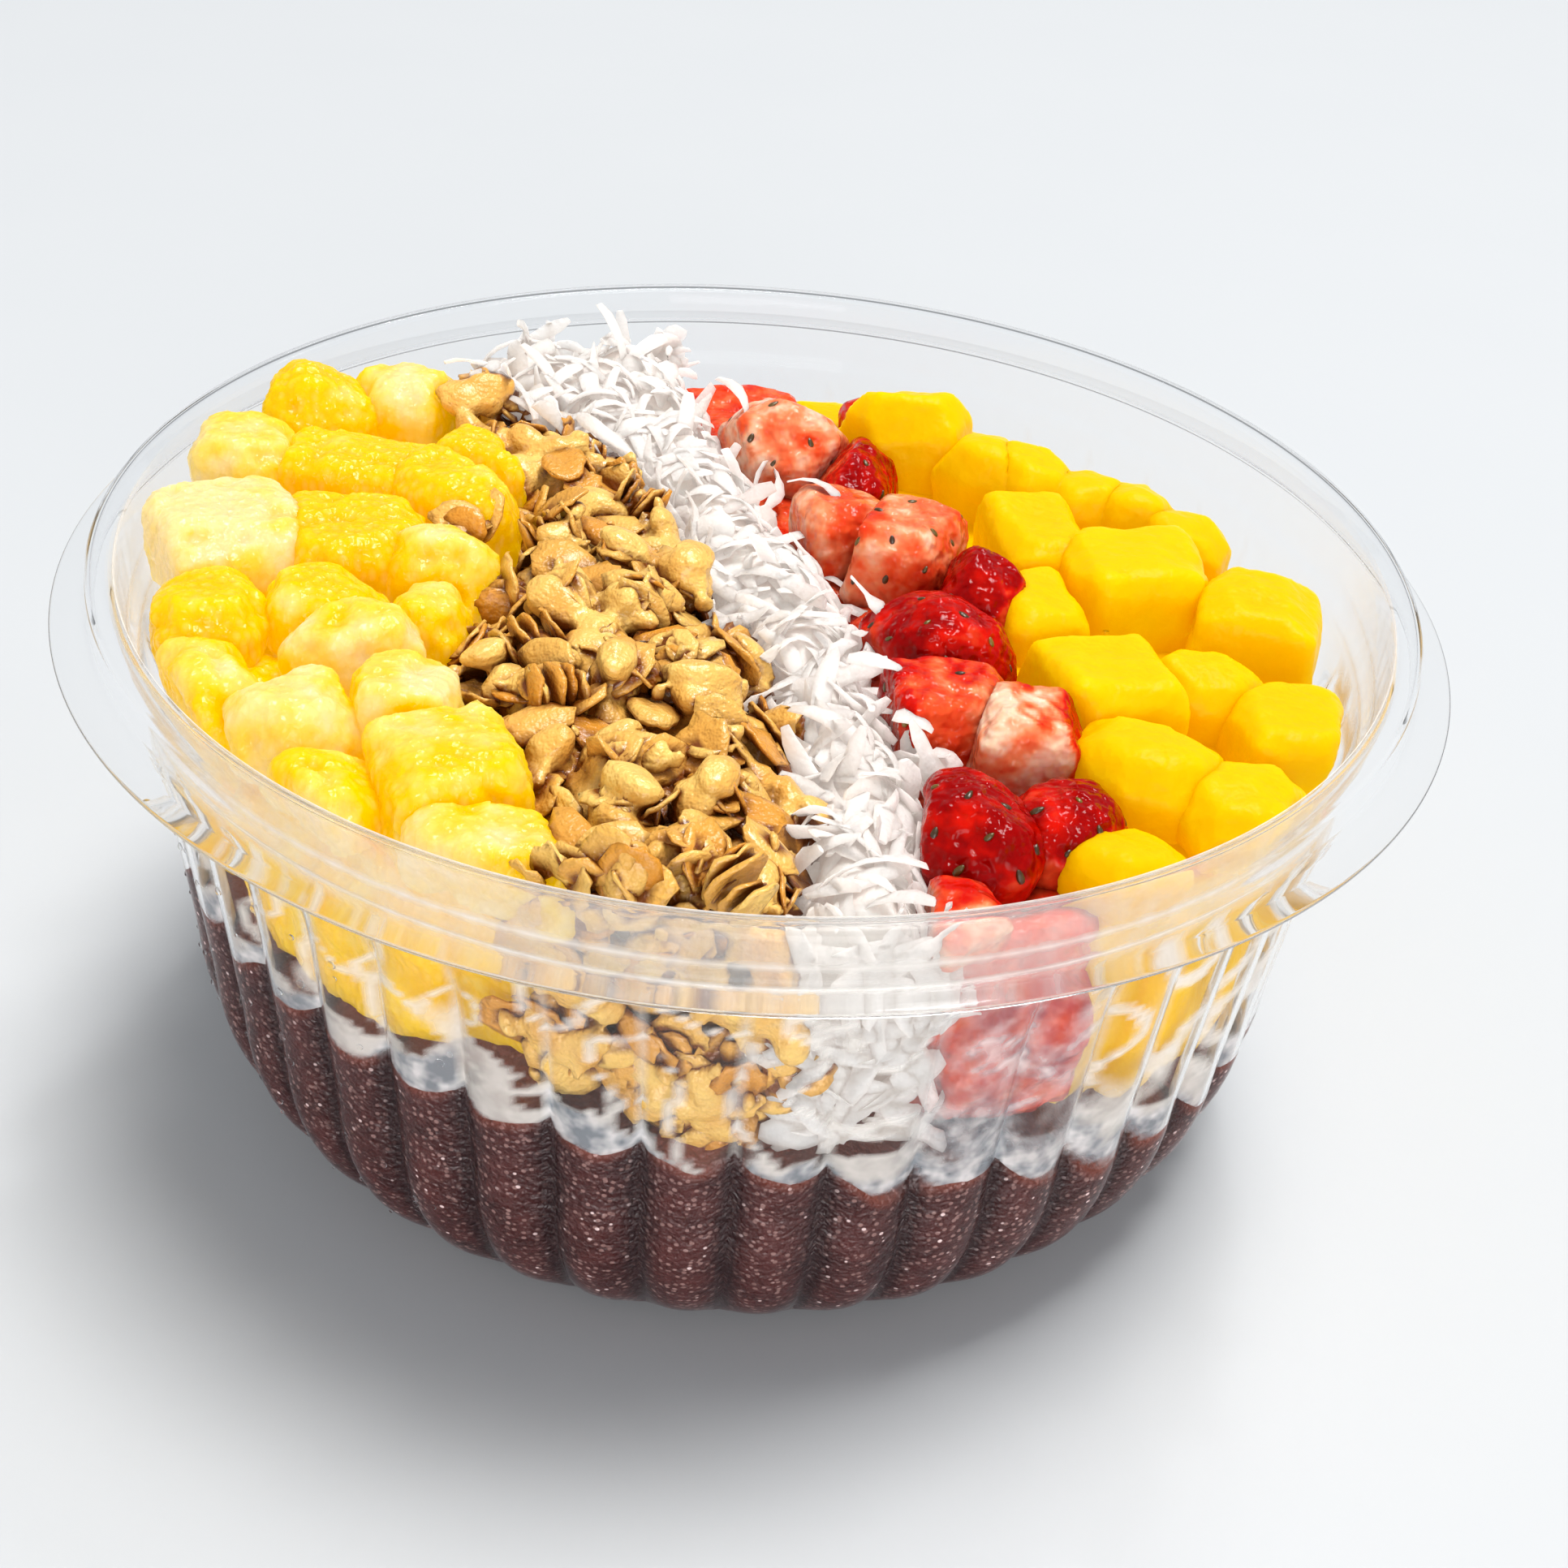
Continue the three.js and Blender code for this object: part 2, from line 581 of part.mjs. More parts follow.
/** Places against the wall at both ends of a stripe, from the pulp up. */
function wallPlaces(stripe, nextStripe, spacing, depthIn, random) {
  const places = [];
  const radius = bendTopRadius - fluteDepth - wallThickness - depthIn;
  [-1, 1].forEach((end) => {
    const left = sideAt(stripe, end * 62) + 2;
    const right = sideAt(nextStripe, end * 62) - 2;
    for (let across = left; across < right; across += spacing) {
      const [x, y] = inStripes(across, end * Math.sqrt(radius * radius - across * across));
      for (let z = acaiHeight(x, y) + 4; z < rimHeight - 7; z += spacing) {
        const turn = new THREE.Euler(6.3 * random(), Math.PI / 2 - 0.1, Math.atan2(y, x), 'ZYX');
        const out = 1 + (wallDraft * (z - bendTop)) / radius;
        const middle = new THREE.Vector3(x * out, y * out, z + 3 * random());
        const [cx, cy] = inStripes((left + right) / 2 - across, 0);
        places.push({ middle, turn, toCentre: new THREE.Vector3(cx, cy, 0) });
      }
    }
  });
  return places;
}

// ---- The whole ----------------------------------------------------------------------------------

const bowl = new THREE.Group();

function addMesh(name, geometry, colour, roughness, extra = {}) {
  const material = new THREE.MeshStandardMaterial({ color: colour, roughness, metalness: 0, ...extra });
  const mesh = new THREE.Mesh(geometry, material);
  mesh.name = name;
  bowl.add(mesh);
}

/** Fuses the parts of each joined piece, and numbers the pieces of a kind. */
function joinParts(kind, parts) {
  const pieces = [];
  parts.forEach((part) => {
    const whole = part.joined && pieces.find((piece) => piece.joined === part.joined);
    if (whole) {
      whole.body = whole.body.add(part.body);
    } else {
      pieces.push({ ...part, kind, name: `${kind}_${String(pieces.length + 1).padStart(2, '0')}` });
    }
  });
  return pieces;
}

function buildFruit() {
  const random = seededRandom(7);
  const kinds = { pineapple: pineapplePieces, strawberry: strawberryPieces, mango: mangoPieces };
  const parts = Object.entries(kinds).flatMap(([kind, list]) => list.map((piece) => {
    const [x, y] = piece.at;
    return {
      kind,
      joined: piece.joined,
      body: standingPiece(piece, random),
      middle: new THREE.Vector3(x, y, (bedHeight(x, y) + heapHeight(x, y) + piece.lift) / 2),
      reach: (piece.size[0] + piece.size[1]) / 4,
    };
  }));
  partPieces(parts);
  const keepOut = between('granola', 'strawberry', halfGap);
  return Object.keys(kinds)
    .flatMap((kind) => joinParts(kind, parts.filter((part) => part.kind === kind)))
    .map((piece) => ({
      ...piece,
      body: largestLump(piece.body.intersect(room).subtract(keepOut)),
    }));
}

const fruit = buildFruit();
const allFruit = fruit.reduce((sum, piece) => sum.add(piece.body), fruit[0].body);

function buildGranola() {
  const random = seededRandom(27);
  const core = coreRoom.intersect(overAcai).intersect(granolaRidge);
  const places = topPlaces('granola', 'coconut', granolaCoreTop, 11, 1.8, random)
    .concat(wallPlaces('granola', 'coconut', 10, 1.6, random));
  const flakeOrGrain = (next) => (next() < 0.6 ? oatFlake(next) : puffedGrain(next));
  const blocked = allFruit.add(between('coconut', 'strawberry', 0));
  return fusePieces(core, places, flakeOrGrain, blocked, random);
}

function buildCoconut(granolaHeap) {
  const random = seededRandom(4);
  const core = coreRoom.intersect(overAcai).intersect(coconutRidge);
  const places = topPlaces('coconut', 'strawberry', coconutCoreTop, 9.8, 0.8, random)
    .concat(wallPlaces('coconut', 'strawberry', 8.5, 1.2, random));
  return fusePieces(core, places, coconutShred, allFruit.add(granolaHeap), random);
}

const granolaHeap = buildGranola();
const { granola, strawberry, mango } = leftSides;
const beds = {
  pineapple: bedRoom(granola.map(() => -100), granola),
  strawberry: bedRoom(strawberry, mango),
  mango: bedRoom(mango, mango.map(() => 100)),
};
const colours = { pineapple: '#ffd75a', strawberry: '#c8281c', mango: '#ffbe00' };

addMesh('bowl', bowlShell(), '#eef3f6', 0.06, { transparent: true, opacity: 0.35 });
addMesh('acai', surfaceOf(acaiPulp()), '#5a3c40', 0.45);
addMesh('granola', surfaceOf(granolaHeap), '#c89650', 0.7);
addMesh('coconut', surfaceOf(buildCoconut(granolaHeap)), '#f5f0f0', 0.6);
Object.entries(beds).forEach(([kind, stripe], i) => {
  const bed = fruitBed(stripe, 17, seededRandom(30 + i));
  addMesh(`${kind}_bed`, surfaceOf(bed), colours[kind], 0.4);
});
fruit.forEach((piece) => addMesh(piece.name, surfaceOf(piece.body), colours[piece.kind], 0.35));

export default bowl;
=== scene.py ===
import json
import math
import random

import bmesh
import bpy
import numpy as np
from mathutils import Euler, Matrix, Vector, noise
from mathutils.bvhtree import BVHTree

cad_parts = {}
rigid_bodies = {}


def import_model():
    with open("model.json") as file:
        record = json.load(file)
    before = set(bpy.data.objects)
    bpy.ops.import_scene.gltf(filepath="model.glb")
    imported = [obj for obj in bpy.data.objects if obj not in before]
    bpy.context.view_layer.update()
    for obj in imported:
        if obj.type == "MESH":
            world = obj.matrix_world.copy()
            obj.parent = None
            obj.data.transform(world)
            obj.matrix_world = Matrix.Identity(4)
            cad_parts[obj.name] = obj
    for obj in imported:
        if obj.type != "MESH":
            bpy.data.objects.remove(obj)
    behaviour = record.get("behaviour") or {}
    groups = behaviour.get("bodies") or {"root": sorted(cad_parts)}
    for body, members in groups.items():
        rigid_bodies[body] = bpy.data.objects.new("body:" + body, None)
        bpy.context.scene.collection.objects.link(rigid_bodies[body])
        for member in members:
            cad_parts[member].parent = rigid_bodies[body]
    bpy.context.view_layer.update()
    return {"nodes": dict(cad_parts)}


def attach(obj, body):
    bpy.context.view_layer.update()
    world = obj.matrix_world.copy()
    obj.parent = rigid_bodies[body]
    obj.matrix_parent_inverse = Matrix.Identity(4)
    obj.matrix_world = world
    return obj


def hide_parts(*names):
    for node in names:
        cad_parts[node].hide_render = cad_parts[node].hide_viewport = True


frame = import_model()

scene = bpy.context.scene
mm = 0.001

# ---- Table, light and camera ----
# A plain pale table under a large soft light from behind on the right, with weak light all round.
# The camera looks down at the bowl from the eater's side.

scene.view_settings.view_transform = "Standard"


def paint(red, green, blue):
    """A colour given as 0 to 255 on a screen, in the linear values that a shader takes."""
    def linear(value):
        value /= 255
        return value / 12.92 if value <= 0.04045 else ((value + 0.055) / 1.055) ** 2.4
    return linear(red), linear(green), linear(blue), 1.0


def give(socket, value):
    """Sets a socket to a value, or links a node's output to it."""
    if isinstance(value, bpy.types.NodeSocket):
        socket.id_data.links.new(value, socket)
    else:
        socket.default_value = value


def new_material(name, **settings):
    """A material with one Principled shader, whose sockets get the given settings."""
    material = bpy.data.materials.new(name)
    material.use_nodes = True
    nodes = material.node_tree.nodes
    shader = nodes["Principled BSDF"]
    for socket, value in settings.items():
        give(shader.inputs[socket.replace("_", " ")], value)
    return material, nodes, shader


def add_math(nodes, operation, *values, clamped=False):
    """One step of arithmetic on numbers or nodes' outputs."""
    node = nodes.new("ShaderNodeMath")
    node.operation, node.use_clamp = operation, clamped
    for socket, value in zip(node.inputs, values):
        give(socket, value)
    return node.outputs[0]


def blotches_group():
    """Uneven colour and a fine surface: a mask of blotches, and the height of a fine grain."""
    group = bpy.data.node_groups.new("blotches", "ShaderNodeTree")
    for name, value in (("Blotch Size", 0.004), ("Grain Size", 0.0008), ("Sharpness", 2.0)):
        group.interface.new_socket(name, in_out="INPUT", socket_type="NodeSocketFloat").default_value = value
    for name in ("Mask", "Grain"):
        group.interface.new_socket(name, in_out="OUTPUT", socket_type="NodeSocketFloat")
    nodes = group.nodes
    given, result = nodes.new("NodeGroupInput"), nodes.new("NodeGroupOutput")
    place = nodes.new("ShaderNodeTexCoord")
    clouds = []
    for size, detail in (("Blotch Size", 2), ("Grain Size", 1)):
        cloud = nodes.new("ShaderNodeTexNoise")
        for socket, value in (("Vector", place.outputs["Object"]), ("Detail", detail),
                              ("Scale", add_math(nodes, "DIVIDE", 1, given.outputs[size]))):
            give(cloud.inputs[socket], value)
        clouds.append(cloud.outputs["Fac"])
    centred = add_math(nodes, "SUBTRACT", clouds[0], 0.5)
    give(result.inputs["Mask"],
         add_math(nodes, "MULTIPLY_ADD", centred, given.outputs["Sharpness"], 0.5, clamped=True))
    give(result.inputs["Grain"], clouds[1])
    return group


blotches = blotches_group()


def add_blotches(nodes, blotch_size, grain_size, sharpness):
    """Places the blotches in a material, and gives their mask and the height of the grain."""
    group = nodes.new("ShaderNodeGroup")
    group.node_tree = blotches
    for socket, value in zip(group.inputs, (blotch_size, grain_size, sharpness)):
        give(socket, value)
    return group.outputs["Mask"], group.outputs["Grain"]


def add_mix(nodes, share, first, second):
    """Mixes two colours, each given as a colour or as a node's output, by a share."""
    mix = nodes.new("ShaderNodeMix")
    mix.data_type = "RGBA"
    for socket, value in ((mix.inputs["Factor"], share), (mix.inputs[6], first), (mix.inputs[7], second)):
        give(socket, value)
    return mix.outputs[2]


def add_range(nodes, value, low, high, to_low=0.0, to_high=1.0):
    """Maps a value from one range to another, and holds it there."""
    node = nodes.new("ShaderNodeMapRange")
    for socket, number in zip(node.inputs[:5], (value, low, high, to_low, to_high)):
        give(socket, number)
    return node.outputs["Result"]


def add_bump(nodes, shader, height, distance):
    """Feeds a height into the shader's normal."""
    bump = nodes.new("ShaderNodeBump")
    give(bump.inputs["Distance"], distance)
    give(bump.inputs["Height"], height)
    give(shader.inputs["Normal"], bump.outputs["Normal"])


def add_attribute(nodes, name):
    """A number that a mesh keeps for each of its points."""
    node = nodes.new("ShaderNodeAttribute")
    node.attribute_name = name
    return node.outputs["Fac"]


def mesh_from(shape, name):
    """A plain mesh from an edit mesh, which is freed."""
    mesh = bpy.data.meshes.new(name)
    shape.to_mesh(mesh)
    shape.free()
    return mesh


table_paint, nodes, shader = new_material("table_paint", Roughness=0.55, Specular_IOR_Level=0.3)
mask, grain = add_blotches(nodes, 0.05, 0.0012, 1.2)
give(shader.inputs["Base Color"], add_mix(nodes, mask, (0.595, 0.615, 0.638, 1), (0.605, 0.624, 0.645, 1)))

flat_top = bmesh.new()
bmesh.ops.create_grid(flat_top, x_segments=8, y_segments=8, size=3)
table_mesh = mesh_from(flat_top, "table")
table_mesh.transform(Matrix.Translation((0, 0, -0.05 * mm)))
table_mesh.materials.append(table_paint)
table = bpy.data.objects.new("table", table_mesh)
scene.collection.objects.link(table)

world = bpy.data.worlds.new("room")
world.use_nodes = True
room_light = world.node_tree.nodes["Background"].inputs
give(room_light["Color"], (0.93, 0.965, 1.0, 1))
give(room_light["Strength"], 0.35)
scene.world = world


def soft_light(name, place, size, watts, colour=(1, 1, 1)):
    """A square soft box that faces the bowl."""
    lamp = bpy.data.lights.new(name, "AREA")
    lamp.size = size
    lamp.energy = watts
    lamp.color = colour
    box = bpy.data.objects.new(name, lamp)
    place = Vector(place)
    box.matrix_world = Matrix.Translation(place) @ (
        (place - Vector((0, 0, 0.05))).to_track_quat("Z", "Y").to_matrix().to_4x4())
    scene.collection.objects.link(box)


soft_light("top_box", (0.5, 0.42, 3.0), 1.1, 90, (1, 0.985, 0.96))
soft_light("front_box", (0.15, -1.9, 0.5), 1.2, 24)
soft_light("small_box", (0.3, 1.1, 1.7), 0.14, 5)
scene.cycles.max_bounces = 12
scene.cycles.transmission_bounces = 12
scene.cycles.diffuse_bounces = 2

lens_share = 2800 / 1932
yaw, pitch, roll = 0.02105799, 0.59192426, 0.08657382
camera = bpy.data.objects.new("camera", bpy.data.cameras.new("camera"))
camera.data.sensor_width = 36
camera.data.lens = 36 * lens_share
camera.data.clip_start = 0.01
ahead = Vector((math.sin(yaw) * math.cos(pitch), math.cos(yaw) * math.cos(pitch), -math.sin(pitch)))
right = ahead.cross(Vector((0, 0, 1))).normalized()
upward = right.cross(ahead)
right, upward = (right * math.cos(roll) + upward * math.sin(roll),
                 upward * math.cos(roll) - right * math.sin(roll))
stand = Matrix((right, upward, -ahead)).transposed().to_4x4()
stand.translation = (0, -0.24189, 0.19904)
camera.matrix_world = stand
scene.collection.objects.link(camera)
scene.camera = camera

# ---- Bowl ----
# A disposable bowl of thin clear plastic, pressed from one sheet. It has 44 flutes round its wall, a
# stacking step, a hollow rolled rim and a thin flat flange outside it.

wall_thickness = 0.4
bend_top, bend_top_radius = 27, 69.4
bend_centre_radius, bend_depth = 50, 27.6
wall_draft = 0.115
flute_count, flute_depth = 44, 1.9
first_groove = math.radians(-145.7)


def wall_radius(z):
    """Radius of the outer wall at the crown of a flute, at a height."""
    if z >= bend_top:
        return bend_top_radius + wall_draft * (z - bend_top)
    fall = (bend_top - z) / bend_depth
    return bend_centre_radius + (bend_top_radius - bend_centre_radius) * math.sqrt(1 - fall * fall)


def flute_share(z):
    """How deep the grooves are at a height, as a share of their full depth."""
    return float(np.interp(z, [2, 3, 4.5, 7, 11, 50, 53, 56, 58], [0, 0.2, 0.6, 0.88, 1, 1, 0.85, 0.35, 0]))


def groove_share(angle):
    """How far the wall lies inside the crown of a flute at an angle, from 0 to 1 in the groove."""
    across = ((angle - first_groove) / (2 * math.pi) * flute_count) % 1.0
    return 1 - np.sin(np.pi * across) ** 0.75


def inner_row(z):
    """Radius, height and groove depth of the inner wall beside a height on the outer one."""
    return wall_radius(z) - wall_thickness, z + wall_thickness, flute_depth * flute_share(z)


def ring_angles(columns):
    """Angles of the points round a ring, from the first groove on."""
    return first_groove + np.arange(columns) / columns * 2 * math.pi


def closed_skin(name, rings, start, end):
    """A mesh over rings of points in millimetres, closed by a point at each end."""
    count, columns = rings.shape[:2]
    points = np.concatenate([np.array([start]), rings.reshape(-1, 3), np.array([end])]) * mm
    around = np.arange(columns)
    beside = (around + 1) % columns
    faces = [(0, 1 + b, 1 + a) for a, b in zip(around, beside)]
    for row in range(count - 1):
        low, high = 1 + row * columns, 1 + (row + 1) * columns
        faces += list(zip(low + around, low + beside, high + beside, high + around))
    top, last = 1 + (count - 1) * columns, len(points) - 1
    faces += [(last, top + a, top + b) for a, b in zip(around, beside)]
    mesh = bpy.data.meshes.new(name)
    mesh.from_pydata(points.tolist(), [], [tuple(int(i) for i in face) for face in faces])
    mesh.shade_smooth()
    return mesh


def turned_rings(rows, columns):
    """Rings of points from rows of radius, height and groove depth, all in millimetres."""
    angles = ring_angles(columns)
    dip = groove_share(angles)
    rings = np.zeros((len(rows), columns, 3))
    for i, (radius, z, depth) in enumerate(rows):
        reach = radius - depth * dip
        rings[i] = np.stack([reach * np.cos(angles), reach * np.sin(angles), np.full(columns, z)], axis=1)
    return rings


def add_piece(name, mesh, material, slot, *nodes_replaced):
    """A finished piece of the serving, which takes the place of CAD nodes."""
    mesh.materials.clear()
    mesh.materials.append(material)
    piece = bpy.data.objects.new(name, mesh)
    scene.collection.objects.link(piece)
    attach(piece, "root")
    if nodes_replaced:
        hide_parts(*nodes_replaced)
    return piece


flute_heights = [2, 2.6, 3.4, 4.5, 5.8, 7.4, 9.2, 11] + [11 + 3 * i for i in range(1, 13)] + [
    49, 51, 52.5, 54, 55.2, 56.4, 57.4, 58.4, 60]
outer_rows = [(30, 1.6, 0), (48.6, 1.6, 0), (49.9, 1.3, 0), (50.4, 0.5, 0), (50.9, 0, 0), (52.5, 0, 0), (54, 0, 0),
              (55.4, 0.35, 0), (56.8, 1.1, 0)]
outer_rows += [(wall_radius(z), z, flute_depth * flute_share(z)) for z in flute_heights]
rim_rows = [(73.45, 61.7), (74, 62.6), (74.35, 63.6), (74.5, 64.8), (74.9, 68), (75.2, 70.7), (75.5, 71.6),
            (76.1, 71.98), (76.9, 71.98), (77.4, 71.6), (77.55, 70.5), (77.6, 67.4), (77.75, 66.5), (78.2, 65.95),
            (79.5, 65.85), (82, 65.85), (82.3, 65.95), (82.3, 66.2), (82, 66.3), (79.6, 66.3), (78.6, 66.4),
            (78.2, 66.8), (78.1, 67.6), (78.05, 70.6), (77.9, 71.8), (77.4, 72.35), (76.7, 72.5), (75.9, 72.45),
            (75.2, 72.1), (74.85, 71.3), (74.6, 69.6), (74.1, 66), (73.85, 64.9), (73.6, 63.8), (73.2, 62.6)]
inner_rows = [inner_row(z) for z in reversed(flute_heights)] + [(56, 2.3, 0), (48, 2.1, 0), (28, 2.1, 0)]
bowl_rows = outer_rows + [(r, z, 0) for r, z in rim_rows] + inner_rows
bowl_mesh = closed_skin("bowl", turned_rings(bowl_rows, flute_count * 12), (0, 0, 1.6), (0, 0, 2.1))

# The plastic is clear to shadows, to light that the food throws back and to rays trapped in the wall.
clear_plastic, nodes, shader = new_material(
    "clear_plastic", Base_Color=(0.985, 0.99, 0.995, 1), Roughness=0.04, IOR=1.15, Transmission_Weight=1.0)
mask, grain = add_blotches(nodes, 0.012, 0.003, 1.6)
give(shader.inputs["Roughness"], add_range(nodes, mask, 0.35, 1.0, 0.025, 0.09))
ray = nodes.new("ShaderNodeLightPath").outputs
indirect = add_math(nodes, "MAXIMUM", ray["Is Shadow Ray"], ray["Is Diffuse Ray"])
trapped = add_math(nodes, "GREATER_THAN", ray["Ray Depth"], 4.5)
see_through = add_math(nodes, "MAXIMUM", indirect, trapped)
give(shader.inputs["Alpha"], add_range(nodes, see_through, 0, 1, 1, 0.08))
add_piece("clear_bowl", bowl_mesh, clear_plastic, "clear_bowl", "bowl")

# ---- Acai pulp ----
# Frozen acai blended to a thick pulp and pressed into the bowl, so that it fills the flutes. It holds
# fine grit and pale ice, and its edge against the wall is melted and redder.
# The pulp is painted darker in the grooves of the flutes, as shade.

acai_inset = 0.14
acai_edge_dip = 1.7


def acai_height(x, y):
    """Height of the pulp's surface."""
    across = x / 70
    out = min(1.0, math.hypot(x, y) / 70)
    return 35 - 9 * across - 6 * across * across + 13 * (1 - out * out)


def acai_rings():
    """Rings of points over the pulp, and how near each is to the edge and to a groove."""
    columns, rows, lid_rows = flute_count * 10, 46, 14
    angles = ring_angles(columns)
    dip = groove_share(angles)
    rings = np.zeros((rows + lid_rows, columns, 3))
    edge_mark, groove_mark = np.zeros((2, rows + lid_rows, columns))
    for j, angle in enumerate(angles):
        way = Vector((math.cos(angle), math.sin(angle), 0))
        wave = noise.noise(way * 5.5 + Vector((3, 1, 7))) * 2.6 + noise.noise(way * 15) * 2.0
        edge = acai_height(67 * way.x, 67 * way.y) - acai_edge_dip * (1 - dip[j]) + wave
        for i in range(rows):
            share = i / (rows - 1)
            z = 2 + (edge - 2 - acai_inset) * share
            radius = wall_radius(z) - acai_inset - flute_depth * flute_share(z) * dip[j]
            point = Vector((radius * way.x, radius * way.y, z + acai_inset))
            shoulder = max(0.0, share - 0.93) / 0.07
            lumps = 0.12 * noise.noise(point * 0.22) + 0.12 * noise.noise(point * 0.7)
            point += way * (min(0.0, lumps - 0.05) - 0.9 * shoulder ** 3)
            rings[i, j] = point
            edge_mark[i, j] = max(0.0, 1 - (edge - point.z) / 2.6)
            groove_mark[i, j] = dip[j] ** 1.5 * flute_share(z)
        for i in range(lid_rows):
            share = 1 - (i + 0.6) / lid_rows
            inner = Vector(rings[rows - 1, j]) * share
            level = acai_height(inner.x, inner.y)
            blend = share ** 8
            point = Vector((inner.x, inner.y, level * (1 - blend) + (edge + 0.2) * blend))
            point.z += 0.5 * noise.noise(point * 0.25)
            rings[rows + i, j] = point
            edge_mark[rows + i, j] = 1
    return rings, edge_mark, groove_mark


rings, edge_mark, groove_mark = acai_rings()
acai_mesh = closed_skin("acai", rings, (0, 0, 2 + acai_inset), (0, 0, acai_height(0, 0)))


def store(mesh, name, values):
    """Keeps a number for each point of a mesh, which its material reads."""
    attribute = mesh.attributes.new(name, "FLOAT", "POINT")
    attribute.data.foreach_set("value", np.asarray(values, dtype=np.float32))


store(acai_mesh, "melt", np.concatenate([[0], edge_mark.reshape(-1), [1]]))
# The groove mark is used below to paint shade into the grooves of the flutes.
store(acai_mesh, "groove", np.concatenate([[0], groove_mark.reshape(-1), [0]]))

acai_pulp, nodes, shader = new_material("acai_pulp", Roughness=0.42, Specular_IOR_Level=0.45)
mask, grain = add_blotches(nodes, 0.0035, 0.0007, 2.2)
pulp_colour = add_mix(nodes, mask, paint(58, 22, 21), paint(90, 42, 39))
place = nodes.new("ShaderNodeTexCoord")
for size, share, speck in ((0.0008, 0.4, paint(150, 112, 106)), (0.0017, 0.17, paint(246, 214, 210))):
    ice = nodes.new("ShaderNodeTexVoronoi")
    give(ice.inputs["Scale"], 1 / size)
    give(ice.inputs["Vector"], place.outputs["Object"])
    spot = add_range(nodes, ice.outputs["Distance"], share * 0.75, share, 1, 0)
    lucky = nodes.new("ShaderNodeSeparateColor")
    give(lucky.inputs[0], ice.outputs["Color"])
    kept = add_math(nodes, "MULTIPLY", spot, add_range(nodes, lucky.outputs[0], 0.3, 0.5))
    pulp_colour = add_mix(nodes, kept, pulp_colour, speck)
# The melt mark reddens the edge, and the groove mark darkens the grooves of the flutes as painted shade.
for mark, low, high, colour in (("melt", 0.1, 0.8, paint(128, 56, 36)), ("groove", 0.0, 0.55, paint(34, 12, 14))):
    marked = add_range(nodes, add_attribute(nodes, mark), low, high, 0, 0.85)
    pulp_colour = add_mix(nodes, marked, pulp_colour, colour)
give(shader.inputs["Base Color"], pulp_colour)
add_bump(nodes, shader, grain, 0.0005)
add_piece("acai_fill", acai_mesh, acai_pulp, "acai_pulp", "acai")

# ---- Pineapple ----
# Ripe pineapple cut by hand into wedges and cubes, wet with juice. The flesh is translucent, runs
# from cream to deep yellow, and shows the ends and sides of its fibres.


def points_of(mesh):
    """The places of a mesh's points, one row each."""
    values = np.zeros(len(mesh.vertices) * 3, dtype=np.float32)
    mesh.vertices.foreach_get("co", values)
    return values.reshape(-1, 3)


def normals_of(mesh):
    """The normals at a mesh's points, one row each."""
    values = np.zeros(len(mesh.vertices) * 3, dtype=np.float32)
    mesh.vertex_normals.foreach_get("vector", values)
    return values.reshape(-1, 3)


def copied(node):
    """A copy of a CAD solid's mesh with its corners joined."""
    mesh = frame["nodes"][node].data.copy()
    corners = bmesh.new()
    corners.from_mesh(mesh)
    bmesh.ops.remove_doubles(corners, verts=corners.verts, dist=1e-6)
    corners.to_mesh(mesh)
    corners.free()
    return mesh


def trimmed(mesh, chance, cuts, depth):
    """Slices corners off a solid piece with flat cuts, less deep where the piece is small."""
    solid = bmesh.new()
    solid.from_mesh(mesh)
    depth = min(depth * mm, 0.13 * float(np.ptp(points_of(mesh), axis=0).min()))
    for _ in range(cuts):
        way = Vector((chance.uniform(-1, 1), chance.uniform(-1, 1), chance.uniform(-0.3, 1))).normalized()
        reach = max(corner.co.dot(way) for corner in solid.verts) - chance.uniform(0.4, 1) * depth
        bmesh.ops.bisect_plane(solid, geom=solid.verts[:] + solid.edges[:] + solid.faces[:],
                               plane_co=way * reach, plane_no=way, clear_outer=True)
        bmesh.ops.holes_fill(solid, edges=solid.edges[:])
    solid.to_mesh(mesh)
    solid.free()
    return mesh


def softened(name, mesh, voxel, rounds, swell=0.0, reliefs=()):
    """A mesh made anew with its edges rounded, swollen a little so that neighbours touch, and with
    a relief in its faces: the size, the depth and the layers of each pattern."""
    shape = bpy.data.objects.new("shape", mesh)
    scene.collection.objects.link(shape)
    skin = shape.modifiers.new("skin", "REMESH")
    skin.mode = "VOXEL"
    skin.voxel_size = voxel * mm
    rounding = shape.modifiers.new("rounding", "SMOOTH")
    rounding.factor = 0.5
    rounding.iterations = rounds
    grow = shape.modifiers.new("swell", "DISPLACE")
    grow.strength = swell * mm
    grow.mid_level = 0
    for size, depth, layers in reliefs:
        pattern = bpy.data.textures.new("pattern", "CLOUDS")
        pattern.noise_scale = size * mm
        pattern.noise_depth = layers
        press = shape.modifiers.new("relief", "DISPLACE")
        press.texture = pattern
        press.texture_coords = "LOCAL"
        press.strength = depth * mm
        press.mid_level = 0.5
    result = bpy.data.meshes.new_from_object(shape.evaluated_get(bpy.context.evaluated_depsgraph_get()))
    bpy.data.objects.remove(shape)
    result.name = name
    result.shade_smooth()
    return result


def add_ramp(nodes, value, stops):
    """Turns a value into a colour, by stops that start at 0 and end at 1."""
    ramp = nodes.new("ShaderNodeValToRGB")
    row = ramp.color_ramp.elements
    for position, colour in stops:
        stop = row[0] if position == 0 else row[-1] if position == 1 else row.new(position)
        stop.color = colour
    give(ramp.inputs[0], value)
    return ramp.outputs[0]
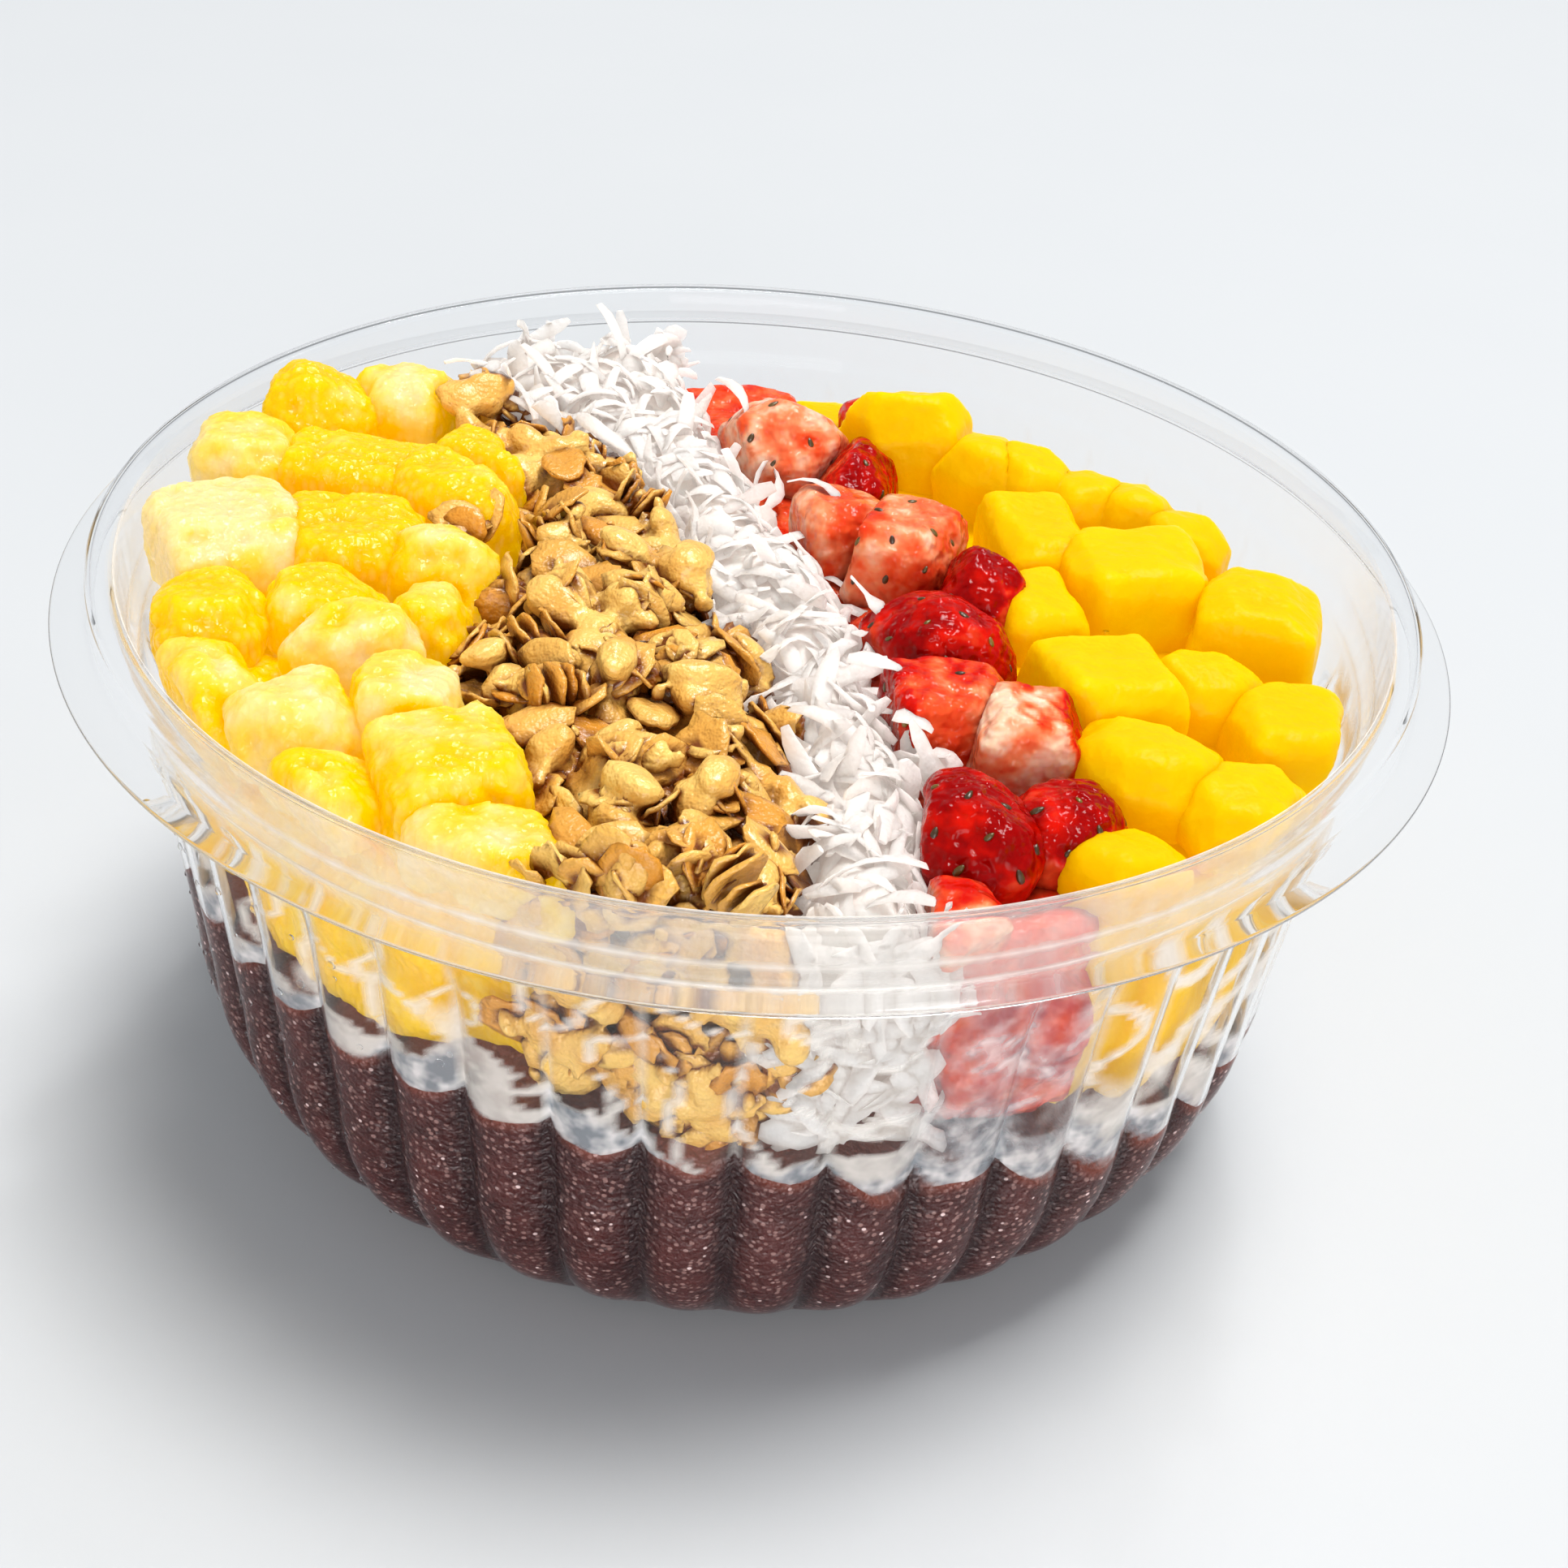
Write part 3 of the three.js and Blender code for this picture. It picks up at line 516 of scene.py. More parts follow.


# The flesh glows faintly in its own colour: painted light that evens out its shade.
pineapple_flesh, nodes, shader = new_material(
    "pineapple_flesh", Roughness=0.2, Specular_IOR_Level=0.2, Subsurface_Weight=0.9, Subsurface_Scale=0.008,
    Subsurface_Radius=(1.0, 0.95, 0.3), Emission_Strength=0.5)
mask, grain = add_blotches(nodes, 0.0045, 0.0011, 3.0)
yellowness = add_range(nodes, add_attribute(nodes, "ripeness"), 0, 1, -0.2, 0.8)
# Points closed in by other food are pushed towards deep yellow: painted shade in the gaps.
yellowness = add_math(nodes, "MULTIPLY_ADD", add_attribute(nodes, "gap_shade"), 0.7, yellowness)
yellowness = add_math(nodes, "MULTIPLY_ADD", mask, 0.3, yellowness, clamped=True)
flesh_colour = add_ramp(nodes, yellowness, ((0, paint(214, 188, 130)), (0.3, paint(214, 180, 74)),
                                      (0.55, paint(216, 172, 0)), (1, paint(216, 166, 0))))
place = nodes.new("ShaderNodeTexCoord")
along_fibre = nodes.new("ShaderNodeMapping")
give(along_fibre.inputs["Rotation"], (0.7, 0.3, 0.5))
give(along_fibre.inputs["Scale"], (1, 1, 0.5))
give(along_fibre.inputs["Vector"], place.outputs["Object"])
fibre = nodes.new("ShaderNodeTexVoronoi")
give(fibre.inputs["Scale"], 900)
give(fibre.inputs["Vector"], along_fibre.outputs[0])
pale = add_range(nodes, fibre.outputs["Distance"], 0.15, 0.5, 0.12, 0)
flesh_colour = add_mix(nodes, pale, flesh_colour, paint(230, 200, 140))
give(shader.inputs["Base Color"], flesh_colour)
# The painted glow takes the flesh's own colour.
give(shader.inputs["Emission Color"], flesh_colour)
add_bump(nodes, shader, add_math(nodes, "ADD", fibre.outputs["Distance"], grain), 0.00035)


def food_tree(*more):
    """A search tree over all the food laid so far, and over more meshes."""
    places, faces, start = [], [], 0
    for mesh in [piece.data for piece in food] + list(more):
        places.append(points_of(mesh))
        mesh.calc_loop_triangles()
        corners = np.zeros(len(mesh.loop_triangles) * 3, dtype=np.int32)
        mesh.loop_triangles.foreach_get("vertices", corners)
        faces.append(corners.reshape(-1, 3) + start)
        start += len(mesh.vertices)
    return BVHTree.FromPolygons(np.concatenate(places).tolist(), np.concatenate(faces).tolist())


def resting_on(tree, x, y):
    """The spot on top of the food at a place given in millimetres, and its normal."""
    return tree.ray_cast(Vector((x, y, 120)) * mm, Vector((0, 0, -1)))[:2]


def fibrous(mesh, turned):
    """Presses the sides and ends of fibres, and a few torn hollows, into the faces of a piece."""
    places, normals = points_of(mesh), normals_of(mesh)
    along = np.array(turned)
    for i, place in enumerate(places):
        own = along @ place / mm
        ridge = noise.noise((own[0] * 0.75, own[1] * 0.75, own[2] * 0.6))
        grain = noise.noise(own * 1.3)
        torn = max(0.0, noise.noise((own[0] * 0.3 + 7, own[1] * 0.3, own[2] * 0.3)) - 0.15)
        places[i] += normals[i] * (0.16 * ridge + 0.16 * grain - 1.6 * torn) * mm
    mesh.vertices.foreach_set("co", places.reshape(-1))
    mesh.update()


def uneven(mesh, level, spread=0.45):
    """A level for each point of a mesh that drifts from place to place."""
    return [level + spread * noise.noise(place / (7 * mm)) + 0.4 * spread * noise.noise(place / (2.4 * mm))
            for place in map(Vector, points_of(mesh))]


pineapple_ripeness = [0.6, 0.25, 0.35, 0.05, 0.8, 0.95, 0.75, 0.9, 0.3, 0.8, 0.55, 0.25, 0.5, 0.4, 0.15, 0.15,
                      0.5, 0.4, 0.35, 0.6]
food = []
chance = random.Random(41)
for number, ripeness in enumerate(pineapple_ripeness, 1):
    mesh = softened(f"pineapple_{number}", trimmed(copied(f"pineapple_{number:02d}"), chance, 9, 2.6), 0.5, 2, 1.1,
                    [(7, 1.0, 0)])
    fibrous(mesh, Euler((number * 1.3, number * 0.7, number * 2.1)).to_matrix())
    store(mesh, "ripeness", uneven(mesh, ripeness))
    food.append(add_piece(f"pineapple_chunk_{number:02d}", mesh, pineapple_flesh, "pineapple",
                          f"pineapple_{number:02d}"))
mesh = softened("pineapple_lower", copied("pineapple_bed"), 0.9, 3, 0.6,
                [(7, 2.5, 1), (2, 0.7, 1)])
store(mesh, "ripeness", uneven(mesh, 0.7))
food.append(add_piece("pineapple_lower_layer", mesh, pineapple_flesh, "pineapple", "pineapple_bed"))

# ---- Mango ----
# Soft ripe mango, scored into cubes and turned out of its skin. The faces are smooth and slightly
# wavy from the knife, the edges are soft, and the colour is even.

# The flesh glows faintly in its own colour: painted light that flattens its shade.
mango_flesh, nodes, shader = new_material(
    "mango_flesh", Roughness=0.34, Specular_IOR_Level=0.05, Subsurface_Weight=0.8, Subsurface_Scale=0.006,
    Subsurface_Radius=(1.0, 0.95, 0.1), Emission_Strength=0.45)
mask, grain = add_blotches(nodes, 0.007, 0.0012, 1.5)
flesh_colour = add_mix(nodes, mask, paint(212, 166, 0), paint(212, 172, 0))
yellowness = add_range(nodes, add_attribute(nodes, "ripeness"), 0, 1, 0, 0.8)
flesh_colour = add_mix(nodes, yellowness, flesh_colour, paint(216, 158, 0))
# Deeper orange where other food closes in: painted shade in the gaps.
shade_in_gap = add_range(nodes, add_attribute(nodes, "gap_shade"), 0.1, 0.8)
flesh_colour = add_mix(nodes, shade_in_gap, flesh_colour, paint(212, 150, 0))
give(shader.inputs["Base Color"], flesh_colour)
give(shader.inputs["Emission Color"], flesh_colour)
add_bump(nodes, shader, grain, 0.0002)

mango_ripeness = [0.2, 0.35, 0.4, 0.05, 0.45, 0.2, 0.05, 0.3, 0.3, 0.2, 0.1, 0.6]
for number, ripeness in enumerate(mango_ripeness, 1):
    mesh = softened(f"mango_{number}", trimmed(copied(f"mango_{number:02d}"), chance, 5, 1.8), 0.45, 1, 0.9,
                    [(9, 1.7, 0), (3, 0.5, 1)])
    store(mesh, "ripeness", np.full(len(mesh.vertices), ripeness))
    food.append(add_piece(f"mango_cube_{number:02d}", mesh, mango_flesh, "mango", f"mango_{number:02d}"))
mesh = softened("mango_lower", copied("mango_bed"), 0.9, 4, 0.6, [(9, 2.5, 0)])
store(mesh, "ripeness", np.full(len(mesh.vertices), 0.4))
food.append(add_piece("mango_lower_layer", mesh, mango_flesh, "mango", "mango_bed"))

# ---- Strawberry ----
# Strawberries cut into halves and cubes. The skin is glossy red, and each seed sits in a dimple.
# The cut flesh is salmon to nearly white, with pale veins.

strawberry_flesh, nodes, shader = new_material(
    "strawberry_flesh", Roughness=0.1, Specular_IOR_Level=0.14, Subsurface_Weight=0.6, Subsurface_Scale=0.003,
    Subsurface_Radius=(1.0, 0.35, 0.2))
mask, grain = add_blotches(nodes, 0.003, 0.0016, 3.0)
pale = add_range(nodes, add_attribute(nodes, "paleness"), 0, 1, -0.15, 0.85)
pale = add_math(nodes, "MULTIPLY_ADD", mask, 0.3, pale, clamped=True)
flesh_colour = add_ramp(nodes, pale, ((0, paint(150, 0, 0)), (0.3, paint(210, 18, 2)), (0.6, paint(240, 90, 44)),
                                      (0.8, paint(246, 146, 100)), (1, paint(248, 206, 176))))
# Darker red where other food closes in: painted shade in the gaps.
shade_in_gap = add_range(nodes, add_attribute(nodes, "gap_shade"), 0.1, 0.8, 0, 0.7)
give(shader.inputs["Base Color"], add_mix(nodes, shade_in_gap, flesh_colour, paint(140, 0, 0)))
add_bump(nodes, shader, grain, 0.0011)

seed_shell, nodes, shader = new_material("seed_shell", Roughness=0.35, Coat_Weight=0.4)
mask, grain = add_blotches(nodes, 0.002, 0.0003, 2.0)
browns = add_mix(nodes, add_attribute(nodes, "tone"), paint(52, 20, 10), paint(148, 122, 34))
give(shader.inputs["Base Color"], add_mix(nodes, mask, browns, paint(70, 52, 20)))
add_bump(nodes, shader, grain, 0.00008)


def scatter_tree():
    """Places shapes from a collection on points. A point's kind, turn and size say which shape
    stands there, and how."""
    tree = bpy.data.node_groups.new("scatter", "GeometryNodeTree")
    for name, kind in (("Points", "Geometry"), ("Shapes", "Collection"), ("Material", "Material")):
        tree.interface.new_socket(name, in_out="INPUT", socket_type="NodeSocket" + kind)
    tree.interface.new_socket("Pieces", in_out="OUTPUT", socket_type="NodeSocketGeometry")
    nodes = tree.nodes
    given, result = nodes.new("NodeGroupInput"), nodes.new("NodeGroupOutput")
    shapes = nodes.new("GeometryNodeCollectionInfo")
    shapes.inputs["Separate Children"].default_value = True
    shapes.inputs["Reset Children"].default_value = True
    give(shapes.inputs["Collection"], given.outputs["Shapes"])

    def stored(name, kind):
        node = nodes.new("GeometryNodeInputNamedAttribute")
        node.data_type = kind
        node.inputs["Name"].default_value = name
        return node.outputs["Attribute"]

    turn = nodes.new("FunctionNodeEulerToRotation")
    give(turn.inputs[0], stored("turn", "FLOAT_VECTOR"))
    stand = nodes.new("GeometryNodeInstanceOnPoints")
    stand.inputs["Pick Instance"].default_value = True
    for socket, value in (("Points", given.outputs["Points"]), ("Instance", shapes.outputs[0]),
                          ("Instance Index", stored("kind", "INT")), ("Rotation", turn.outputs[0]),
                          ("Scale", stored("size", "FLOAT_VECTOR"))):
        give(stand.inputs[socket], value)
    real = nodes.new("GeometryNodeRealizeInstances")
    give(real.inputs[0], stand.outputs[0])
    finish = nodes.new("GeometryNodeSetMaterial")
    give(finish.inputs["Geometry"], real.outputs[0])
    give(finish.inputs["Material"], given.outputs["Material"])
    give(result.inputs["Pieces"], finish.outputs[0])
    return tree


scatter = scatter_tree()


def scattered(name, shapes, spots, material):
    """One mesh with a shape at every spot. A spot is its place in metres, its turn, its size, the
    number of its shape and its tone."""
    points = bpy.data.meshes.new("spots")
    points.from_pydata([tuple(spot[0]) for spot in spots], [], [])
    for part, (key, kind) in enumerate((("turn", "FLOAT_VECTOR"), ("size", "FLOAT_VECTOR"), ("kind", "INT"),
                                        ("tone", "FLOAT")), 1):
        values = np.array([tuple(spot[part]) if kind == "FLOAT_VECTOR" else spot[part] for spot in spots])
        attribute = points.attributes.new(key, kind, "POINT")
        attribute.data.foreach_set("vector" if kind == "FLOAT_VECTOR" else "value", values.reshape(-1))
    shelf = bpy.data.collections.new(name + "_shapes")
    for i, shape in enumerate(shapes):
        shelf.objects.link(bpy.data.objects.new(f"{name}_shape_{i:02d}", shape))
    holder = bpy.data.objects.new("holder", points)
    scene.collection.objects.link(holder)
    modifier = holder.modifiers.new("scatter", "NODES")
    modifier.node_group = scatter
    given = {"Shapes": shelf, "Material": material}
    for socket in scatter.interface.items_tree:
        if socket.in_out == "INPUT" and socket.name in given:
            modifier[socket.identifier] = given[socket.name]
    mesh = bpy.data.meshes.new_from_object(holder.evaluated_get(bpy.context.evaluated_depsgraph_get()))
    holder.modifiers.remove(modifier)
    bpy.data.objects.remove(holder)
    for shape in list(shelf.objects):
        bpy.data.objects.remove(shape)
    bpy.data.collections.remove(shelf)
    mesh.name = name
    mesh.shade_smooth()
    return mesh


def spread_spots(places, spacing, chance):
    """Numbers of places picked at random, none nearer to another than the spacing."""
    order = list(range(len(places)))
    chance.shuffle(order)
    cells, picked = {}, []
    for i in order:
        cell = tuple(int(math.floor(c / spacing)) for c in places[i])
        near = [j for dx in (-1, 0, 1) for dy in (-1, 0, 1) for dz in (-1, 0, 1)
                for j in cells.get((cell[0] + dx, cell[1] + dy, cell[2] + dz), ())]
        if all(np.dot(places[i] - places[j], places[i] - places[j]) > spacing ** 2 for j in near):
            cells.setdefault(cell, []).append(i)
            picked.append(i)
    return picked


def seed_shape():
    """A flattened pip, pointed at one end."""
    shape = bmesh.new()
    bmesh.ops.create_uvsphere(shape, u_segments=8, v_segments=5, radius=1)
    for corner in shape.verts:
        x, y, z = corner.co
        corner.co = Vector((z * 0.85, y * 0.45 * (1 - 0.3 * z), x * 0.3)) * mm
    bmesh.ops.recalc_face_normals(shape, faces=shape.faces)
    return mesh_from(shape, "pip")


def lying_turn(normal, spin, tip=0.0, roll=0.0):
    """The turn of a shape that lies on a surface, spun round the normal, then tipped off it."""
    upright = Vector(normal).to_track_quat("Z", "Y").to_matrix()
    own = Matrix.Rotation(spin, 3, "Z") @ Matrix.Rotation(tip, 3, "Y") @ Matrix.Rotation(roll, 3, "X")
    return (upright @ own).to_euler("XYZ")


# For each piece: how pale its skin side and its cut side are, the way its skin faces, and whether it
# shows seeds.
strawberry_looks = [
    (0.74, 0.85, (0, -0.3, 1), True), (0.12, 0.4, (1, 0, 1), True), (0.62, 0.74, (1, 0, 0), False),
    (0.68, 0.72, (0, -0.3, 1), True), (0.08, 0.55, (-0.5, 0.2, 1), False), (0.14, 0.45, (0, -0.2, 1), True),
    (0.3, 0.62, (-1, 0.3, 0.2), True), (0.35, 0.95, (1, 0.3, 0), False), (0.0, 0.3, (0, 0, 1), True),
    (0.12, 0.5, (0, 0.2, 1), True), (0.3, 0.7, (0, 1, 0.4), False), (0.2, 0.6, (0, 1, 0.4), False)]
chance = random.Random(5)
pips = []
for number, (skin_paleness, cut_paleness, facing, seeded) in enumerate(strawberry_looks, 1):
    mesh = softened(f"strawberry_{number}", trimmed(copied(f"strawberry_{number:02d}"), chance, 6, 2.2),
                    0.42, 2, 0.7, [(8, 1.2, 0), (2.2, 0.5, 1)])
    places, normals = points_of(mesh), normals_of(mesh)
    facing = np.array(Vector(facing).normalized())
    skin_side = np.clip((normals @ facing - 0.05) / 0.3, 0, 1)
    if seeded:
        wanted = [i for i in range(len(places)) if skin_side[i] > 0.95 and normals[i][2] > -0.2]
        for i in spread_spots(places[wanted], 4.3 * mm, chance):
            spot = places[wanted[i]].copy()
            way = normals[wanted[i]].copy()
            away = np.linalg.norm(places - spot, axis=1) / mm
            dimple, lip = 0.42 * np.exp(-(away / 0.8) ** 2), 0.06 * np.exp(-((away - 1.5) / 0.6) ** 2)
            places -= normals * (dimple - lip)[:, None] * mm
            turn = lying_turn(way, chance.uniform(-0.5, 0.5) + 1.4, chance.uniform(-0.15, 0.15))
            pips.append((spot - way * 0.34 * mm, turn, [chance.uniform(0.6, 1.05)] * 3, 0, chance.random() ** 2))
        mesh.vertices.foreach_set("co", places.reshape(-1))
        mesh.update()
    store(mesh, "paleness", uneven(mesh, 0, 0.3) + skin_paleness * skin_side + cut_paleness * (1 - skin_side))
    food.append(add_piece(f"strawberry_cut_{number:02d}", mesh, strawberry_flesh, "strawberry",
                          f"strawberry_{number:02d}"))
mesh = softened("strawberry_lower", copied("strawberry_bed"), 0.8, 3, 0.6,
                [(7, 2.5, 1), (2, 0.5, 1)])
store(mesh, "paleness", np.full(len(mesh.vertices), 0.5))
food.append(add_piece("strawberry_lower_layer", mesh, strawberry_flesh, "strawberry", "strawberry_bed"))
pip_mesh = scattered("pips", [seed_shape()], pips, seed_shell)
add_piece("strawberry_seeds", pip_mesh, seed_shell, "strawberry")

# ---- Granola ----
# Rolled oats and puffed grains baked with syrup into small clusters, then heaped. A flake is an oval
# of about 8 mm, curled, with a seam along its middle, and the syrup leaves a light glaze.


def flake_shape(chance):
    """A rolled oat: a thin curled oval with a seam along its middle."""
    across, along = [-1, -0.66, -0.14, 0.14, 0.66, 1], [-1, -0.62, 0, 0.62, 1]
    length, width = chance.uniform(3.4, 4.4), chance.uniform(2.5, 3.3)
    curl, twist, bend = chance.uniform(-1.0, 0.5), chance.uniform(-0.4, 0.4), chance.uniform(-0.8, 0.4)
    here = Vector((chance.uniform(0, 90), chance.uniform(0, 90), 0))
    points, faces = [], []
    for side in (1, -1):
        for u in along:
            for v in across:
                x, y = u * math.sqrt(1 - v * v / 2), v * math.sqrt(1 - u * u / 2)
                out = math.hypot(x, y)
                ragged = 1 + 0.25 * noise.noise(Vector((x, y, 0)) * 2.1 + here) * out
                seam = (0.3 if abs(v) < 0.2 else 0.0) * max(0.0, 1 - out ** 4)
                crumple = 0.5 * noise.noise(Vector((x, y, 3)) * 2.3 + here)
                thick = 0.2 + 0.24 * math.sqrt(max(0.0, 1 - out ** 4)) - seam
                z = curl * y * y + bend * x * x + twist * x * y + crumple + side * thick
                points.append((x * length * ragged * mm, y * width * ragged * mm, z * mm))
    columns, rows = len(across), len(along)
    half = columns * rows
    for i in range(rows - 1):
        for j in range(columns - 1):
            a, b = i * columns + j, (i + 1) * columns + j
            faces += [(a, b, b + 1, a + 1), (half + a, half + a + 1, half + b + 1, half + b)]
    rim = list(range(columns)) + [i * columns + columns - 1 for i in range(1, rows)]
    rim += [(rows - 1) * columns + j for j in range(columns - 2, -1, -1)]
    rim += [i * columns for i in range(rows - 2, 0, -1)]
    for a, b in zip(rim, rim[1:] + rim[:1]):
        faces.append((a, b, half + b, half + a))
    mesh = bpy.data.meshes.new("flake")
    mesh.from_pydata(points, [], faces)
    return mesh


def lump_shape(chance, sizes, creased, columns=9, rows=6):
    """A puffed grain or a crumb: a rounded lump, with a crease along it where it is creased."""
    shape = bmesh.new()
    bmesh.ops.create_uvsphere(shape, u_segments=columns, v_segments=rows, radius=1)
    here = Vector((chance.uniform(0, 90), chance.uniform(0, 90), 7))
    for corner in shape.verts:
        z, y, x = corner.co
        crease = math.exp(-(y / 0.3) ** 2) * max(0.0, z) if creased else 0.0
        swell = 1 + 0.25 * noise.noise(Vector((x, y, z)) * 1.7 + here) - 0.25 * crease
        corner.co = Vector((x * sizes[0], y * sizes[1], z * sizes[2])) * swell * mm
    bmesh.ops.recalc_face_normals(shape, faces=shape.faces)
    return mesh_from(shape, "lump")


baked_oats, nodes, shader = new_material(
    "baked_oats", Roughness=0.36, Specular_IOR_Level=0.4, Coat_Roughness=0.16)
mask, grain = add_blotches(nodes, 0.0022, 0.0006, 2.6)
oat_colour = add_mix(nodes, add_attribute(nodes, "tone"), paint(222, 146, 42), paint(254, 212, 118))
oat_colour = add_mix(nodes, add_range(nodes, mask, 0, 1, 0, 0.5), oat_colour, paint(232, 164, 58))
# Dark brown where other food closes in: painted shade in the creases and gaps.
shade_in_gap = add_range(nodes, add_attribute(nodes, "gap_shade"), 0.12, 0.55)
give(shader.inputs["Base Color"], add_mix(nodes, shade_in_gap, oat_colour, paint(122, 62, 8)))
give(shader.inputs["Coat Weight"], add_range(nodes, mask, 0.3, 0.8, 0.1, 0.6))
add_bump(nodes, shader, grain, 0.0003)

chance = random.Random(17)
flakes, puffs, crumbs = 8, 4, 3
oat_shapes = [flake_shape(chance) for _ in range(flakes)]
oat_shapes += [lump_shape(chance, [chance.uniform(*size) for size in ((3.3, 4.2), (2.1, 2.7), (1.9, 2.4))], True)
               for _ in range(puffs)]
oat_shapes += [lump_shape(chance, (1.5, 1.2, 0.8), False, 6, 5) for _ in range(crumbs)]

core_mesh = softened("granola_core", copied("granola"), 1.0, 8, -0.6, [(9, 3.0, 1)])
core_places, core_normals = points_of(core_mesh), normals_of(core_mesh)


def showing(places, normals):
    """Which points of a heap's core can be seen: its top, and its ends against the wall."""
    height, out = places[:, 2] / mm, np.hypot(places[:, 0], places[:, 1]) / mm
    outward = (places[:, 0] * normals[:, 0] + places[:, 1] * normals[:, 1]) / np.maximum(out * mm, 1e-9)
    return ((normals[:, 2] > 0.25) & (height > 52)) | ((out > 58) & (outward > 0.5)) | (height > 61)


def against_wall(spot, way, inset):
    """Moves a spot on the end of a heap out to the wall, and turns it to face the wall."""
    if math.hypot(spot.x, spot.y) < 60 * mm or way.z > 0.4:
        return spot, way, False
    flat = Vector((spot.x, spot.y, 0)).normalized()
    reach = (wall_radius(spot.z / mm) - wall_thickness - inset) * mm
    return Vector((flat.x * reach, flat.y * reach, spot.z)), flat, True


def heap_spots(spacing, inset):
    """Spots spread over the part of a heap's core that shows, and how each faces."""
    for i in spread_spots(core_places[seen], spacing * mm, chance):
        yield against_wall(Vector(core_places[seen[i]]), Vector(core_normals[seen[i]]), inset)


def strewn_turn(way, tip, roll):
    """The turn of a shape strewn on a surface, with any spin, tipped and rolled by up to two angles."""
    return lying_turn(way, chance.uniform(0, 6.28), chance.uniform(-tip, tip), chance.uniform(-roll, roll))


def joined(*meshes):
    """Several meshes in one."""
    whole = bmesh.new()
    for mesh in meshes:
        whole.from_mesh(mesh)
    return mesh_from(whole, "joined")


# The oats stay clear of the heap's back end, and a few lie loose on the fruit beside the heap.
back_end = (core_places[:, 1] > 43 * mm) & (core_places[:, 2] > 60 * mm)
seen = np.nonzero(showing(core_places, core_normals) & ~back_end)[0]
loose_oats = [(-34.9, -0.2), (-32.9, -26.9), (-29.1, -35), (-25, -34.3), (-9.1, 0), (3.3, -35.2), (-41, -14)]
oats = []
for spot, way, at_wall in heap_spots(8.2, 4.6):
    spin = chance.uniform(0, 6.28)
    if at_wall or chance.random() < 0.68:
        middle = spot + way * (0 if at_wall else chance.uniform(-0.6, 1.4)) * mm
        for rise in (0,) if at_wall or chance.random() < 0.4 else (0, chance.uniform(2.2, 4.2)):
            aside = way.orthogonal().normalized() * chance.uniform(-2.5, 2.5) * mm
            oats.append((middle + way * rise * mm + aside, lying_turn(way, chance.uniform(0, 6.28)),
                         [chance.uniform(0.95, 1.25)] * 3, flakes + chance.randrange(puffs), 0))
        for k in range(7):
            lean = chance.uniform(0.2, 1.25) * (0.35 if at_wall else 1)
            round_turn = Euler((0, lean, k * 0.9 + chance.uniform(-0.3, 0.3)))
            out = lying_turn(way, spin).to_matrix() @ (
                Matrix.Rotation(round_turn.z, 3, "Z") @ Vector((math.sin(lean), 0, math.cos(lean))))
            reach = chance.uniform(2.2, 3.2) * (0.4 if at_wall else 1)
            side = out.cross(way).normalized() * (chance.uniform(2, 4) if at_wall else 0)
            turn = strewn_turn(out, 0.2, 0.2)
            kind = chance.randrange(flakes) if chance.random() < 0.8 else flakes + chance.randrange(puffs)
            oats.append((middle + (out * reach + side) * mm, turn, [chance.uniform(0.7, 1.0)] * 3, kind, 0))
    else:
        turn = lying_turn(way, spin, chance.uniform(1.0, 1.4), chance.uniform(-0.2, 0.2))
        own_up = turn.to_matrix() @ Vector((0, 0, 1))
        for layer in range(chance.choice([4, 5, 6])):
            jitter = Vector([chance.uniform(-1, 1) for _ in range(3)]) * 0.6 * mm
            slight = Euler([angle + chance.uniform(-0.12, 0.12) for angle in turn])
            oats.append((spot + way * 1.8 * mm + own_up * (layer * 1.25 - 2.8) * mm + jitter, slight,
                         [chance.uniform(0.75, 1.0)] * 3, chance.randrange(flakes), 0))
for spot, way, at_wall in heap_spots(4.2, 3.6):
    lift = chance.uniform(-1.2, 0.5) if at_wall else chance.uniform(0.6, 2.6)
    tip = 0.3 if at_wall else 0.45
    turn = strewn_turn(way, tip, tip)
    kind = chance.randrange(flakes) if chance.random() < 0.72 else flakes + chance.randrange(puffs)
    oats.append((spot + way * lift * mm, turn, [chance.uniform(0.75, 1.05)] * 3, kind, 0))
for spot, way, at_wall in heap_spots(5.0, 3.4):
    turn = Euler([chance.uniform(0, 6.28) for _ in range(3)])
    oats.append((spot + way * chance.uniform(0.2, 3.4) * (0.3 if at_wall else 1) * mm, turn,
                 [chance.uniform(0.6, 1.3)] * 3, flakes + puffs + chance.randrange(crumbs), 0))
surface = food_tree(core_mesh)
for x, y in loose_oats:
    spot, way = resting_on(surface, x, y)
    for _ in range(3):
        turn = strewn_turn(way, 0.7, 0.7)
        aside = Vector((chance.uniform(-1.5, 1.5), chance.uniform(-1.5, 1.5), 0.8)) * mm
        oats.append((spot + aside, turn, [chance.uniform(0.7, 0.95)] * 3, chance.randrange(flakes + puffs), 0))
grains = [spot for spot in oats if spot[3] >= flakes]
plates = [spot[:4] + (chance.random(),) for spot in oats if spot[3] < flakes]
granola_mesh = softened("granola", joined(core_mesh, scattered("grains", oat_shapes, grains, baked_oats)), 0.52, 1)
store(granola_mesh, "tone", uneven(granola_mesh, 0.85, 0.7))
food.append(add_piece("granola_clusters", granola_mesh, baked_oats, "granola", "granola"))
flake_mesh = scattered("flakes", oat_shapes, plates, baked_oats)
food.append(add_piece("granola_flakes", flake_mesh, baked_oats, "granola"))

# ---- Coconut ----
# Dried coconut in curled flat shreds that taper at both ends, heaped loosely. The flesh is white and
# slightly translucent, with thin ragged edges.


